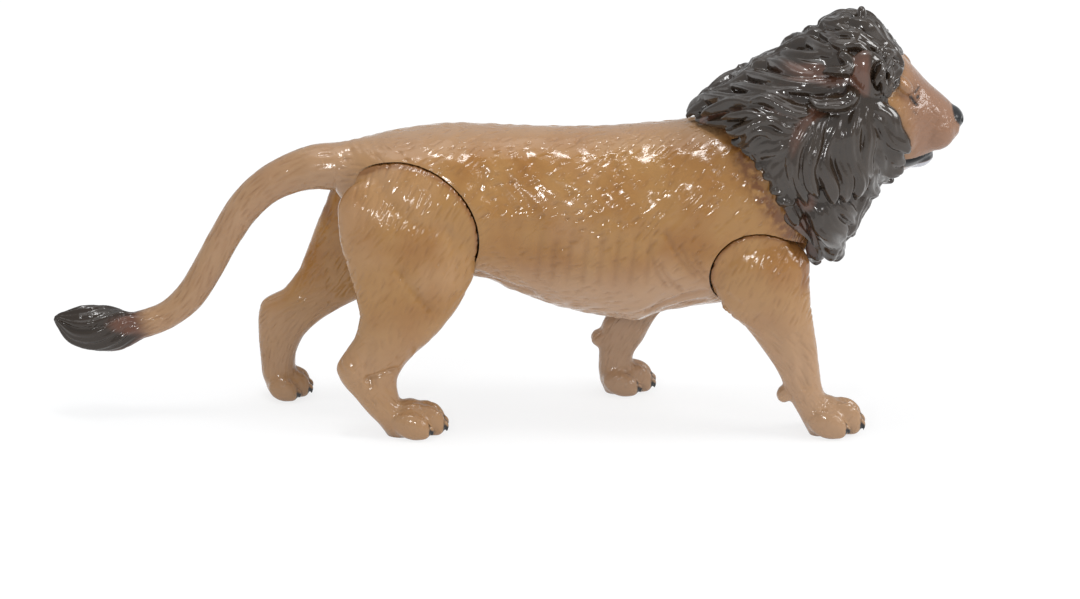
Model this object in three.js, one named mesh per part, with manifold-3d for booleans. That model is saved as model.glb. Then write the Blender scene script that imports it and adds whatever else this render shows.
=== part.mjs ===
// A walking lion figure moulded in glossy PVC, with four legs that pivot at hip and shoulder.
// Millimetres. Z is up, the head points along +X, the soles rest on Z = 0, the lion's right is -Y.

import * as THREE from 'three';
import { mergeVertices } from 'three/addons/utils/BufferGeometryUtils.js';
import Module from 'manifold-3d';

const wasm = await Module();
wasm.setup();

// Driving sizes. The outline points below are drawn for a figure 300 mm long and follow LENGTH.
const LENGTH = 300;
const SCALE = LENGTH / 300;
// Height of the floor under the soles in the drawing's own measure; the finished pieces are set down by it.
const GROUND = drawn(1.8);
const WALL = 2.4;
const GLUE_GAP = 0.3;
const SPLIT_GAP = 0.3;
const SEAM_GAP = 0.6;
const FACE_GAP = 0.4;
const POCKET_FLOOR = 11;
const BODY_SQUARENESS = 2.2;
const FAR_OUT = 2 * LENGTH;
const COARSE_SLACK = 0.4;
const POCKET_SIDES = 24;

// The pivots: hip and shoulder run straight across the body along Y.
const HIP = drawn({ x: -35, z: 70, radius: 25 });
const SHOULDER = drawn({ x: 82, z: 58, radius: 15.5 });
const PEG_RADIUS = 4.7;
const PEG_PROUD = 0.5;
const PEG_CLEARANCE = 0.4;
const WASHER = { outer: 7.6, inner: 1.9, thick: 1.2 };
const SCREW = { headRadius: 2.9, headHigh: 1.8, shankRadius: 1.4, length: 9 };
const PILOT_CLEARANCE = 0.3;

// The torso from the tail root to the front of the chest, as [x, value] points.
const BACK_POINTS = drawn([
  [-57, 96.4], [-50, 97.6], [-36, 99.9], [-20, 101.7], [1, 101.6], [27, 101.3],
  [42, 102.3], [59, 103.6], [75, 107], [94, 112], [100.4, 113],
]);
const BELLY_POINTS = drawn([
  [-57, 81], [-48, 64], [-36, 56], [-20, 53], [-8, 51.5], [1, 47.4], [20, 40.4],
  [35, 37.4], [42, 36.4], [50, 39.5], [59, 41.3], [71, 43], [84, 45], [92, 50], [97, 58], [100.4, 66],
]);
const FLANK_POINTS = drawn([
  [-57, 8.4], [-50, 16.5], [-36, 24.5], [-20, 24.5], [1, 22.5], [27, 25],
  [42, 26], [59, 26.5], [75, 26], [85, 25.5], [92, 23.5], [97, 19.5], [100.4, 14],
]);
const BACK_LINE = profile(BACK_POINTS);
const BELLY_LINE = profile(BELLY_POINTS);
const FLANK_LINE = profile(FLANK_POINTS);
const TORSO_REAR = BACK_POINTS[0][0];
const TORSO_FRONT = BACK_POINTS.at(-1)[0];
const BACK_PINS = drawn([-2, 48]);
const BELLY_PINS = drawn([12, 56]);
const PIN = { radius: 1.5, reach: 4, bossRadius: 3.2, bossLong: 7 };

// The head core from the back of the skull to the muzzle, as [x, value] points.
const CROWN_POINTS = drawn([
  [101, 126], [115, 130], [124, 130.4], [129, 127.4], [133, 123.2], [138, 117.6], [145, 111.2], [148.5, 107.4],
]);
const JAW_POINTS = drawn([
  [101, 92], [115, 88], [127, 87.5], [134, 90], [140, 94.5], [146, 98], [148.5, 101],
]);
const CHEEK_POINTS = drawn([
  [101, 17], [115, 19], [127, 17], [132, 14.5], [138, 11], [144, 8.6], [148.5, 5],
]);
const CROWN_LINE = profile(CROWN_POINTS);
const JAW_LINE = profile(JAW_POINTS);
const CHEEK_LINE = profile(CHEEK_POINTS);
const HEAD_REAR = CROWN_POINTS[0][0];
const HEAD_FRONT = CROWN_POINTS.at(-1)[0];
const NECK_PLUG = drawn({ radius: 7, z: 99, long: 14 });

// The mane's outer mass over neck and skull, as [x, value] points.
const MANE_TOP_POINTS = drawn([
  [60, 107], [66, 110.5], [74, 115.5], [88, 124.5], [103, 134.5], [113, 139.5], [119, 138.5], [128, 132.5],
]);
const MANE_BOTTOM_POINTS = drawn([
  [60, 103.5], [72, 103], [80, 98], [86, 90], [93, 77], [100, 63], [104, 57], [109, 64],
  [114, 73], [120, 83], [128, 89.5],
]);
const MANE_SIDE_POINTS = drawn([
  [60, 3], [66, 12], [74, 20], [84, 25.5], [93, 27.5], [104, 26.5], [116, 24.5], [128, 20],
]);
const MANE_TOP = profile(MANE_TOP_POINTS);
const MANE_BOTTOM = profile(MANE_BOTTOM_POINTS);
const MANE_SIDE = profile(MANE_SIDE_POINTS);
const MANE_REAR = MANE_TOP_POINTS[0][0];
const MANE_FRONT = MANE_TOP_POINTS.at(-1)[0];
const LEG_SWEEP = SHOULDER.radius + drawn(5);

// The tail's centre line and radius, from rump to tuft, in the middle plane.
const TAIL_LINE = drawn([
  [-57, 88.7, 7.8], [-64, 88.4, 7.4], [-72, 86, 6.6], [-80, 81.6, 6.0], [-87.5, 74, 5.6], [-94, 63.5, 5.2],
  [-99.5, 53, 5.1], [-105.5, 43.2, 5], [-113, 36.6, 4.6], [-122, 33, 4.7], [-129, 31.6, 6.8], [-136, 31.8, 7.6],
  [-143, 33, 6.4], [-148.6, 34.8, 2.6], [-150.5, 35.4, 0.7],
]);
const TAIL_ROOT = TAIL_LINE[0][0] - GLUE_GAP;
const TAIL_PLUG = drawn({ radius: 4.4, long: 10 });

// Each leg as edges seen from the side, [z, back x, front x, inner y, outer y], and its paw.
const RIGHT_HIND = {
  pivot: HIP, side: -1, back: 35, forward: 6,
  slices: drawn([
    [88, -47, -24, 11, 20], [80, -55, -14, 10, 24], [70, -55.4, -11, 10, 26.4], [60, -53, -10.8, 10, 26.8],
    [50, -50.4, -14.6, 11.5, 26.4], [43, -49.2, -18.8, 12.3, 25.8], [36, -50.6, -24.4, 12.8, 25.2],
    [30, -54.2, -30.6, 13.2, 24.6], [25, -56.8, -34.8, 13.6, 24.2], [20, -55.2, -36.8, 13.8, 24],
    [15, -51, -36.2, 13.8, 24.6], [10, -47, -33.4, 14, 25], [5, -42.4, -31, 14.6, 24.8],
    [-1, -38.6, -31, 17, 22],
  ]),
  paw: drawn({ heel: -39, toes: -20.7, high: 11.2, y: 19.6 }),
};
const LEFT_HIND = {
  pivot: HIP, side: 1, back: 10, forward: 38,
  slices: drawn([
    [88, -47, -24, 11, 20], [80, -56.6, -16, 10, 24], [72, -60, -14, 10, 26.2], [61, -64.1, -20, 10, 26.8],
    [52, -67.3, -28, 11.5, 26], [46, -69.8, -34, 11.8, 25.2], [39, -75, -44, 11.8, 24.2],
    [34, -82.4, -54, 11.8, 23.4], [28, -83.4, -63.4, 11.8, 22.6], [22, -83.2, -68.8, 11.8, 22.2],
    [15, -82.6, -71, 11.8, 22.2], [10, -82.2, -71, 11.4, 22.6], [5, -80.4, -70, 12, 22],
    [-1, -77.4, -70, 14.5, 19.5],
  ]),
  paw: drawn({ heel: -80.6, toes: -66, high: 9.8, y: 17 }),
};
const RIGHT_FORE = {
  pivot: SHOULDER, side: -1, back: 40, forward: 8,
  slices: drawn([
    [72, 76, 90, 11, 23], [66, 69, 97, 10.5, 26], [61, 66.8, 99.4, 10, 27.2], [55, 67.2, 99.4, 10.5, 27.4],
    [48.6, 69.6, 99.6, 11.5, 26.8], [44.4, 72.4, 100.2, 12.2, 26.2], [39.8, 77.8, 100.8, 12.8, 25.6],
    [32.7, 83, 101.8, 13.4, 24.6], [24, 88.6, 102.8, 13.8, 24], [18, 91.2, 103.6, 13.6, 24],
    [13.5, 93.2, 105.4, 13.2, 24.2], [8, 96.2, 106.6, 13.4, 24.2], [-1, 100.6, 106.6, 16, 21],
  ]),
  paw: drawn({ heel: 98.2, toes: 117, high: 12, y: 18.6 }),
  pad: drawn({ x: 91, z: 15.5 }),
};
const LEFT_FORE = {
  pivot: SHOULDER, side: 1, back: 4, forward: 42,
  slices: drawn([
    [72, 76, 90, 11, 23], [66, 69, 96, 10.5, 26], [58, 66.6, 97.4, 10.5, 27.2], [52, 62.5, 96, 12, 27.6],
    [46, 55.5, 88, 14, 27.6], [40, 47, 72, 15.2, 27.2], [35, 39.5, 59.6, 15.8, 27],
    [30, 33.4, 50.6, 16.2, 26.8],
    [25, 30.8, 47.3, 16.4, 26.8], [20, 30, 44.8, 16.6, 26.8], [15, 30, 41.6, 16.8, 26.8],
    [10, 29.8, 40.8, 16.4, 27.2], [5, 30.8, 40, 16.8, 27], [-1, 33, 40, 19, 25],
  ]),
  paw: drawn({ heel: 30.5, toes: 48.2, high: 10.4, y: 22 }),
  pad: drawn({ x: 29.8, z: 20.5 }),
};

// Colours
const TAN_PVC = new THREE.MeshStandardMaterial({ color: 0x9a7348, roughness: 0.35, metalness: 0 });
const DARK_PVC = new THREE.MeshStandardMaterial({ color: 0x45423c, roughness: 0.4, metalness: 0 });
const STEEL = new THREE.MeshStandardMaterial({ color: 0xb8bbbe, roughness: 0.35, metalness: 1 });

// Curves and solids

// Sizes drawn on the 300 mm figure, brought to the figure's own length.
function drawn(value) {
  if (typeof value === 'number') return value * SCALE;
  if (Array.isArray(value)) return value.map(drawn);
  return Object.fromEntries(Object.entries(value).map(([name, size]) => [name, drawn(size)]));
}

// A smooth curve through [place, value] points that never overshoots them.
function profile(points) {
  const last = points.length - 1;
  const slopes = points.slice(1).map((p, i) => (p[1] - points[i][1]) / (p[0] - points[i][0]));
  const tangents = points.map((p, i) => {
    if (i === 0 || i === last) return slopes[Math.min(i, last - 1)];
    const product = slopes[i - 1] * slopes[i];
    return product <= 0 ? 0 : (2 * product) / (slopes[i - 1] + slopes[i]);
  });
  return (place) => {
    const i = Math.max(0, Math.min(last - 1, points.findLastIndex((p) => p[0] <= place)));
    const span = points[i + 1][0] - points[i][0];
    const t = Math.max(0, Math.min(1, (place - points[i][0]) / span));
    const rise = points[i + 1][1] - points[i][1];
    const a = tangents[i] * span;
    const b = tangents[i + 1] * span;
    return points[i][1] + t * (a + t * (3 * rise - 2 * a - b + t * (a + b - 2 * rise)));
  };
}

// Evenly spread places from one value to another.
function spread(from, to, count) {
  return Array.from({ length: count }, (_, i) => from + ((to - from) * i) / (count - 1));
}

// A turned superellipse: the sideways and upward shares of a ring point, from -1 to 1.
function ringShares(count, squareness) {
  return Array.from({ length: count }, (_, k) => {
    const angle = ((k + 0.5) / count) * 2 * Math.PI;
    const power = 2 / squareness;
    const across = Math.sign(Math.cos(angle)) * Math.abs(Math.cos(angle)) ** power;
    const up = Math.sign(Math.sin(angle)) * Math.abs(Math.sin(angle)) ** power;
    return [across, up];
  });
}

// A closed skin through rings of points, with a fan at each end.
function loft(rings) {
  const count = rings[0].length;
  const points = rings.flat();
  const ends = [rings[0], rings.at(-1)];
  ends.forEach((ring) => {
    const middle = new THREE.Vector3();
    ring.forEach((p) => middle.addScaledVector(p, 1 / count));
    points.push(middle);
  });
  const firstHub = points.length - 2;
  const lastRow = (rings.length - 1) * count;
  const faces = [];
  for (let k = 0; k < count; k += 1) {
    const next = (k + 1) % count;
    faces.push(firstHub, next, k, firstHub + 1, lastRow + k, lastRow + next);
    for (let row = 0; row < lastRow; row += count) {
      faces.push(row + k, row + next, row + count + next, row + k, row + count + next, row + count + k);
    }
  }
  const geometry = new THREE.BufferGeometry().setFromPoints(points);
  geometry.setIndex(faces);
  return solid(geometry);
}

// A body that can be joined and cut, wound so that its volume is positive.
function solid(geometry) {
  const bare = geometry.index ? geometry.clone() : geometry;
  bare.deleteAttribute('normal');
  bare.deleteAttribute('uv');
  const merged = mergeVertices(bare, 1e-4);
  const positions = new Float32Array(merged.attributes.position.array);
  const corners = new Uint32Array(merged.index.array);
  if (signedVolume(positions, corners) < 0) corners.reverse();
  return new wasm.Manifold(new wasm.Mesh({ numProp: 3, vertProperties: positions, triVerts: corners }));
}

function signedVolume(positions, corners) {
  const point = (corner) => new THREE.Vector3().fromArray(positions, corner * 3);
  let six = 0;
  for (let i = 0; i < corners.length; i += 3) {
    six += point(corners[i]).dot(point(corners[i + 1]).cross(point(corners[i + 2])));
  }
  return six / 6;
}

// A round bar along Y between two places.
function barAcross(x, z, radius, fromY, toY, sides = 16) {
  const geometry = new THREE.CylinderGeometry(radius, radius, Math.abs(toY - fromY), sides);
  return solid(geometry.translate(x, (fromY + toY) / 2, z));
}

// A round bar along X between two places, in the middle plane.
function barAlong(z, radius, fromX, toX, sides = 16) {
  const geometry = new THREE.CylinderGeometry(radius, radius, Math.abs(toX - fromX), sides);
  return solid(geometry.rotateZ(Math.PI / 2).translate((fromX + toX) / 2, 0, z));
}

function block(min, max) {
  const size = max.map((value, i) => value - min[i]);
  const middle = max.map((value, i) => (value + min[i]) / 2);
  return solid(new THREE.BoxGeometry(...size).translate(...middle));
}

function ellipsoid(centre, radii, tiltY = 0, across = 8, down = 6) {
  const geometry = new THREE.SphereGeometry(1, across, down).scale(...radii);
  return solid(geometry.rotateY(tiltY).translate(...centre));
}

function join(bodies) {
  return bodies.reduce((sum, body) => sum.add(body));
}

// Everything on one side of the middle plane, from a given distance out.
function sideSpace(side, from) {
  const near = side * from;
  const far = side * FAR_OUT;
  return block([-FAR_OUT, Math.min(near, far), -FAR_OUT], [FAR_OUT, Math.max(near, far), FAR_OUT]);
}

// A body swung about a pivot; a positive angle takes the paw toward the tail.
function swing(body, pivot, degrees) {
  return body.translate([-pivot.x, 0, -pivot.z]).rotate([0, degrees, 0]).translate([pivot.x, 0, pivot.z]);
}

function piece(name, body, material) {
  const { vertProperties, triVerts } = body.translate([0, 0, -GROUND]).getMesh();
  const geometry = new THREE.BufferGeometry();
  geometry.setAttribute('position', new THREE.BufferAttribute(new Float32Array(vertProperties), 3));
  geometry.setIndex(new THREE.BufferAttribute(new Uint32Array(triVerts), 1));
  geometry.computeVertexNormals();
  const mesh = new THREE.Mesh(geometry, material);
  mesh.name = name;
  return mesh;
}

// Torso

// A body of upright slices along X between a top line, a bottom line and a half width.
function slicedAlong(places, top, bottom, side, grow, count) {
  const shares = ringShares(count, BODY_SQUARENESS);
  return places.map((x) => {
    const middle = (top(x) + bottom(x)) / 2;
    const half = (top(x) - bottom(x)) / 2 + grow;
    const wide = side(x) + grow;
    return shares.map(([across, up]) => new THREE.Vector3(x, across * wide, middle + up * half));
  });
}

function torsoForm(grow, slices, count) {
  const places = spread(TORSO_REAR, TORSO_FRONT, slices);
  const rings = slicedAlong(places, BACK_LINE, BELLY_LINE, FLANK_LINE, grow, count);
  rings[0].forEach((p) => p.setX(TORSO_REAR - grow));
  rings.at(-1).forEach((p) => p.setX(TORSO_FRONT + grow));
  return loft(rings);
}

// The forms that clear the torso have its own slices and fewer corners, so they lie further out.
const TORSO_SLICES = 20;
const torsoOuter = torsoForm(0, TORSO_SLICES, 20);
const torsoClear = torsoForm(SEAM_GAP + COARSE_SLACK, TORSO_SLICES, 16);
const torsoSwept = torsoForm(SEAM_GAP + 2 * COARSE_SLACK, TORSO_SLICES, 12);
const torsoInner = torsoForm(-WALL, 10, 12);
const PIVOTS = [HIP, SHOULDER];
const SIDES = [-1, 1];

// The round pocket that takes a leg's cap, its cup wall and the hole for the peg.
function pocketCup(pivot, side) {
  const outer = pivot.radius + SEAM_GAP + WALL;
  return barAcross(pivot.x, pivot.z, outer, side * (POCKET_FLOOR - WALL), side * FAR_OUT, POCKET_SIDES);
}

function pocketRoom(pivot, side) {
  const { x, z, radius } = pivot;
  const room = barAcross(x, z, radius + SEAM_GAP, side * POCKET_FLOOR, side * FAR_OUT, POCKET_SIDES);
  const hole = PEG_RADIUS + PEG_CLEARANCE;
  const holeBar = barAcross(x, z, hole, side * (POCKET_FLOOR - 2 * WALL), side * POCKET_FLOOR);
  const washerRoom = barAcross(x, z, WASHER.outer + SEAM_GAP, 0, side * (POCKET_FLOOR - WALL), 18);
  return join([room, holeBar, washerRoom]);
}

// The places of the locating pins, just inside the wall along the back and the belly.
const PIN_INSET = WALL + PIN.radius;
const PIN_PLACES = [
  ...BACK_PINS.map((x) => ({ x, z: BACK_LINE(x) - PIN_INSET })),
  ...BELLY_PINS.map((x) => ({ x, z: BELLY_LINE(x) + PIN_INSET })),
];

function pinBars(radius, fromY, toY) {
  return join(PIN_PLACES.map(({ x, z }) => barAcross(x, z, radius, fromY, toY, 8)));
}

// One half of the hollow torso. The right half carries the locating pins, the left half their holes.
function torsoShell(side) {
  const cups = join(PIVOTS.map((pivot) => pocketCup(pivot, side)));
  const bosses = pinBars(PIN.bossRadius, 0, side * PIN.bossLong);
  const rooms = join(PIVOTS.map((pivot) => pocketRoom(pivot, side)));
  const neckHole = barAlong(NECK_PLUG.z, NECK_PLUG.radius + GLUE_GAP, TORSO_FRONT - 2 * WALL, FAR_OUT);
  const tailHole = barAlong(TAIL_LINE[0][1], TAIL_PLUG.radius + GLUE_GAP, -FAR_OUT, TORSO_REAR + 2 * WALL);
  const hollow = torsoOuter.subtract(torsoInner).add(torsoOuter.intersect(cups.add(bosses)));
  const open = hollow.subtract(join([rooms, neckHole, tailHole]));
  const half = open.intersect(sideSpace(side, SPLIT_GAP / 2));
  const pins = pinBars(PIN.radius, -PIN.reach, PIN.reach);
  const holes = pinBars(PIN.radius + GLUE_GAP, -PIN.reach, PIN.reach + GLUE_GAP);
  return side < 0 ? half.add(pins) : half.subtract(holes);
}

// Legs

function limb({ side, slices }) {
  const bySize = slices.toReversed();
  const edge = (column) => profile(bySize.map((row) => [row[0], row[column]]));
  const [back, front, inner, outer] = [edge(1), edge(2), edge(3), edge(4)];
  const shares = ringShares(12, BODY_SQUARENESS);
  const heights = spread(bySize[0][0], bySize.at(-1)[0], 12);
  const rings = heights.map((z) => shares.map(([across, along]) => new THREE.Vector3(
    (front(z) + back(z)) / 2 + (along * (front(z) - back(z))) / 2,
    side * ((outer(z) + inner(z)) / 2 + (across * (outer(z) - inner(z))) / 2),
    z,
  )));
  return loft(rings);
}

// A paw is a heel pad and four toes, each with a curved claw. Shares are of the paw's length and height.
const TOE_OFFSETS = drawn([-5.7, -2, 2, 5.7]);
const TOE_HALF_WIDE = drawn(2.5);
const TOE_SHARES = { long: 0.36, outerBack: 0.26, outerHigh: 0.86, clawHigh: 0.3 };
const TOE_TILT = 0.25;
const HEEL_HALF_WIDE = drawn(6.6);
const HEEL_SHARES = { place: 0.4, long: 0.42, high: 0.55 };
const SOLE_SINK = drawn(0.4);
const PAW_TOP = drawn(30);
const PAD_SIZE = drawn([2.6, 3.2, 3]);
const CLAW = drawn({ radius: 1.1, long: 3.6 });
const CLAW_DIP = 0.9;
const CLAW_SUNK = 0.22;

function paw({ heel, toes, high, y }, side) {
  const long = toes - heel;
  const heelAt = [heel + long * HEEL_SHARES.place, side * y, GROUND + high * HEEL_SHARES.place];
  const bodies = [ellipsoid(heelAt, [long * HEEL_SHARES.long, HEEL_HALF_WIDE, high * HEEL_SHARES.high])];
  TOE_OFFSETS.forEach((offset, i) => {
    const isOuter = i === 0 || i === TOE_OFFSETS.length - 1;
    const tip = toes - (isOuter ? long * TOE_SHARES.outerBack : 0);
    const half = (high * (isOuter ? TOE_SHARES.outerHigh : 1) + SOLE_SINK) / 2;
    const halfLong = long * TOE_SHARES.long;
    const toeY = side * y + offset;
    const toeAt = [tip - halfLong, toeY, GROUND + half - SOLE_SINK];
    bodies.push(ellipsoid(toeAt, [halfLong, TOE_HALF_WIDE, half], TOE_TILT, 6, 5));
    bodies.push(claw(tip, toeY, GROUND + high * TOE_SHARES.clawHigh));
  });
  return join(bodies);
}

function claw(tipX, y, z) {
  const cone = new THREE.ConeGeometry(CLAW.radius, CLAW.long, 5).rotateZ(-Math.PI / 2).rotateY(CLAW_DIP);
  return solid(cone.translate(tipX - CLAW.long * CLAW_SUNK, y, z));
}

function peg(pivot, side) {
  const inner = POCKET_FLOOR - WALL - PEG_PROUD;
  return barAcross(pivot.x, pivot.z, PEG_RADIUS, side * inner, side * (POCKET_FLOOR + WALL));
}

function pilotHole(pivot, side) {
  const start = POCKET_FLOOR - WALL - PEG_PROUD;
  const deep = SCREW.length + PILOT_CLEARANCE;
  const radius = SCREW.shankRadius + PILOT_CLEARANCE;
  return barAcross(pivot.x, pivot.z, radius, side * (start - PEG_PROUD), side * (start + deep), 10);
}

// A leg fills its round pocket flush with the torso, and stays clear of the torso over its whole swing.
function leg(spec) {
  const { pivot, side } = spec;
  const disc = barAcross(pivot.x, pivot.z, pivot.radius, 0, side * FAR_OUT, POCKET_SIDES);
  const bodies = [torsoOuter.intersect(disc), limb(spec), paw(spec.paw, side)];
  if (spec.pad) bodies.push(ellipsoid([spec.pad.x, side * spec.paw.y, spec.pad.z], PAD_SIZE, 0, 6, 4));
  const torsoBeside = torsoSwept.subtract(disc);
  const swings = [0, spec.back, -spec.forward].map((angle) => swing(torsoBeside, pivot, -angle));
  const shaped = join(bodies).subtract(join(swings));
  const above = block([-FAR_OUT, -FAR_OUT, GROUND], [FAR_OUT, FAR_OUT, FAR_OUT]);
  const inside = POCKET_FLOOR + FACE_GAP;
  const between = block([-FAR_OUT, -inside, PAW_TOP], [FAR_OUT, inside, FAR_OUT]);
  return shaped.intersect(above).subtract(between).add(peg(pivot, side)).subtract(pilotHole(pivot, side));
}

function washer(pivot, side) {
  const start = POCKET_FLOOR - WALL - PEG_PROUD - GLUE_GAP;
  const ring = barAcross(pivot.x, pivot.z, WASHER.outer, side * start, side * (start - WASHER.thick), 18);
  return ring.subtract(barAcross(pivot.x, pivot.z, WASHER.inner, side * (start + WALL), 0, 9));
}

// A pan-head screw turned about Y, its shank pointing outward into the peg.
function screw(pivot, side) {
  const seat = POCKET_FLOOR - WALL - PEG_PROUD - 2 * GLUE_GAP - WASHER.thick;
  const { headRadius, headHigh, shankRadius, length } = SCREW;
  const outline = [
    [0, -headHigh], [headRadius - headHigh / 2, -headHigh], [headRadius, -headHigh / 2], [headRadius, 0],
    [shankRadius, 0], [shankRadius, length - shankRadius], [0, length],
  ];
  const points = outline.map(([r, along]) => new THREE.Vector2(r, along));
  const turned = new THREE.LatheGeometry(points, 9);
  if (side < 0) turned.rotateX(Math.PI);
  return solid(turned.translate(pivot.x, side * seat, pivot.z));
}

// Head

const MUZZLE_PAD = drawn({ at: [141, 6.4, 102], size: [7.6, 5.2, 6.6] });
const BROW = drawn({ at: [131.5, 8, 119.5], size: [3.8, 3.6, 3.2] });
const CHEEK = drawn({ at: [128.5, 12, 104], size: [5.5, 4.5, 9] });
const CHIN = drawn({ at: [137, 0, 92], size: [7, 5.6, 4.6] });
const NOSE = drawn({ at: [147.1, 0, 107.8], size: [3.6, 4.4, 3] });

const HEAD_SLICES = 11;
const HEAD_CORNERS = 14;

function headForm(grow) {
  const places = spread(HEAD_REAR, HEAD_FRONT, HEAD_SLICES);
  const rings = slicedAlong(places, CROWN_LINE, JAW_LINE, CHEEK_LINE, grow, HEAD_CORNERS);
  rings[0].forEach((p) => p.setX(HEAD_REAR - grow));
  rings.at(-1).forEach((p) => p.setX(HEAD_FRONT + grow));
  return loft(rings);
}

function mirrored([x, y, z], side) {
  return [x, side * y, z];
}

// Muzzle pads, brows and cheeks on both sides, grown by a clearance where the mane needs room.
function facePairs(grow) {
  return SIDES.flatMap((side) => [MUZZLE_PAD, BROW, CHEEK].map(({ at, size }) => (
    ellipsoid(mirrored(at, side), size.map((radius) => radius + grow))
  )));
}

function head() {
  const plug = barAlong(NECK_PLUG.z, NECK_PLUG.radius, HEAD_REAR - NECK_PLUG.long, HEAD_REAR + WALL);
  const middle = [ellipsoid(CHIN.at, CHIN.size), ellipsoid(NOSE.at, NOSE.size)];
  return join([headForm(0), plug, ...middle, ...facePairs(0)]);
}

// Mane

const EAR = drawn({ at: [119.8, 17.4, 127], size: [6.3, 3.9, 8.2] });
const EAR_HOLLOW = drawn({ at: [124.4, 19.6, 127.2], size: [5.4, 3.4, 6.2] });
const EAR_TILT = -0.35;

// A point on the mane's mass: place along X and turn from the crest (0) round to the throat (pi).
function manePoint(x, turn, side, lift) {
  const middle = (MANE_TOP(x) + MANE_BOTTOM(x)) / 2;
  const half = (MANE_TOP(x) - MANE_BOTTOM(x)) / 2;
  const across = Math.sin(turn) * (MANE_SIDE(x) + lift);
  return new THREE.Vector3(x, side * across, middle + Math.cos(turn) * (half + lift));
}

// A lock of hair: a flattened, tapering body along a line over the mane.
const LOCK_RINGS = [0.55, 1, 0.14];
const LOCK_DEEP = drawn(4.5);
const MANE_HEART = new THREE.Vector3(...drawn([106, 0, 100]));

function lock(line, wide, thick) {
  const path = new THREE.CatmullRomCurve3(line);
  const rings = LOCK_RINGS.map((share, i) => {
    const t = i / (LOCK_RINGS.length - 1);
    const at = path.getPoint(t);
    const ahead = path.getTangent(t);
    const out = at.clone().sub(MANE_HEART).projectOnPlane(ahead).normalize();
    const across = new THREE.Vector3().crossVectors(ahead, out);
    const half = wide * share;
    const corners = [[0, thick * share], [half, 0], [0, -LOCK_DEEP], [-half, 0]];
    return corners.map(([side, up]) => at.clone().addScaledVector(across, side).addScaledVector(out, up));
  });
  return loft(rings);
}

// Rows of locks from the face backward: where the roots lie, how far they run, at which turns round the
// mane they start and how much they sink on the way.
const LOCK_ROWS = [
  { root: drawn(124), run: drawn(15), turns: [0.34, 0.9, 1.46, 2.02], sink: 0.12 },
  { root: drawn(112), run: drawn(17), turns: [0.38, 0.94, 1.5, 2.06], sink: 0.2 },
  { root: drawn(99), run: drawn(18), turns: [0.36, 0.82, 1.3, 1.78], sink: 0.24 },
  { root: drawn(86), run: drawn(18), turns: [0.4, 0.92, 1.44], sink: 0.2 },
];
const LOCK = drawn({ wide: 5.6, thick: 2.8, lift: 0.2, tipLift: 1.4 });
const LOCK_STEPS = [0, 0.5, 1];
const SIDE_RUN_SHARE = 0.45;
const FLOW_TURN = 0.55;

// The locks along the crest stand up at their tips.
const CREST_ROOTS = drawn([121, 110, 99, 88, 78]);
const CREST = drawn({ run: 15, lift: 0.6, tipLift: 3.8 });

// The long chest locks, from root to tip, on one side.
const CHEST_LOCKS = drawn([
  [[119, 14, 96], [114, 19, 84], [108.5, 19, 69]],
  [[115, 20, 98], [109, 24, 83], [103.5, 23, 63]],
  [[108, 24, 98], [103, 27, 82], [100.5, 25, 66]],
  [[121, 6, 90], [114.5, 9, 78], [107.5, 8, 60]],
]);
const CHEST_LOCK = drawn({ wide: 5, thick: 4 });

function sideLock({ root, run, sink }, turn, side) {
  const length = run * Math.max(SIDE_RUN_SHARE, Math.cos(turn * FLOW_TURN));
  const line = LOCK_STEPS.map((t) => {
    const lift = LOCK.lift + (LOCK.tipLift - LOCK.lift) * t;
    return manePoint(root - length * t, turn * (1 + sink * t), side, lift);
  });
  return lock(line, LOCK.wide, LOCK.thick);
}

function maneLocks(side) {
  const rows = LOCK_ROWS.flatMap((row) => row.turns.map((turn) => sideLock(row, turn, side)));
  const chest = CHEST_LOCKS.map((line) => {
    const points = line.map((p) => new THREE.Vector3(...mirrored(p, side)));
    return lock(points, CHEST_LOCK.wide, CHEST_LOCK.thick);
  });
  return join([...rows, ...chest]);
}

function crestLocks() {
  return join(CREST_ROOTS.map((root) => {
    const line = LOCK_STEPS.map((t) => {
      const lift = CREST.lift + (CREST.tipLift - CREST.lift) * t * t;
      return manePoint(root - CREST.run * t, 0, 1, lift);
    });
    return lock(line, LOCK.wide, LOCK.thick);
  }));
}

function ear(side) {
  const cup = ellipsoid(mirrored(EAR.at, side), EAR.size, EAR_TILT, 10, 7);
  return cup.subtract(ellipsoid(mirrored(EAR_HOLLOW.at, side), EAR_HOLLOW.size, EAR_TILT, 8, 5));
}

function mane() {
  const places = spread(MANE_REAR, MANE_FRONT, 11);
  const mass = loft(slicedAlong(places, MANE_TOP, MANE_BOTTOM, MANE_SIDE, 0, 14));
  const hair = join([mass, crestLocks(), ...SIDES.map(maneLocks)]);
  const roomGap = GLUE_GAP + COARSE_SLACK;
  const bodyRoom = join([torsoClear, headForm(roomGap), ...facePairs(roomGap)]);
  const sweeps = join(SIDES.map((side) => (
    barAcross(SHOULDER.x, SHOULDER.z, LEG_SWEEP, side * (POCKET_FLOOR - FACE_GAP), side * FAR_OUT, POCKET_SIDES)
  )));
  const plugRoom = barAlong(NECK_PLUG.z, NECK_PLUG.radius + GLUE_GAP, TORSO_FRONT - WALL, HEAD_REAR + WALL);
  const sleeve = hair.subtract(bodyRoom).subtract(plugRoom).subtract(sweeps);
  return join([sleeve, ...SIDES.map(ear)]).subtract(bodyRoom);
}

// Tail

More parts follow.
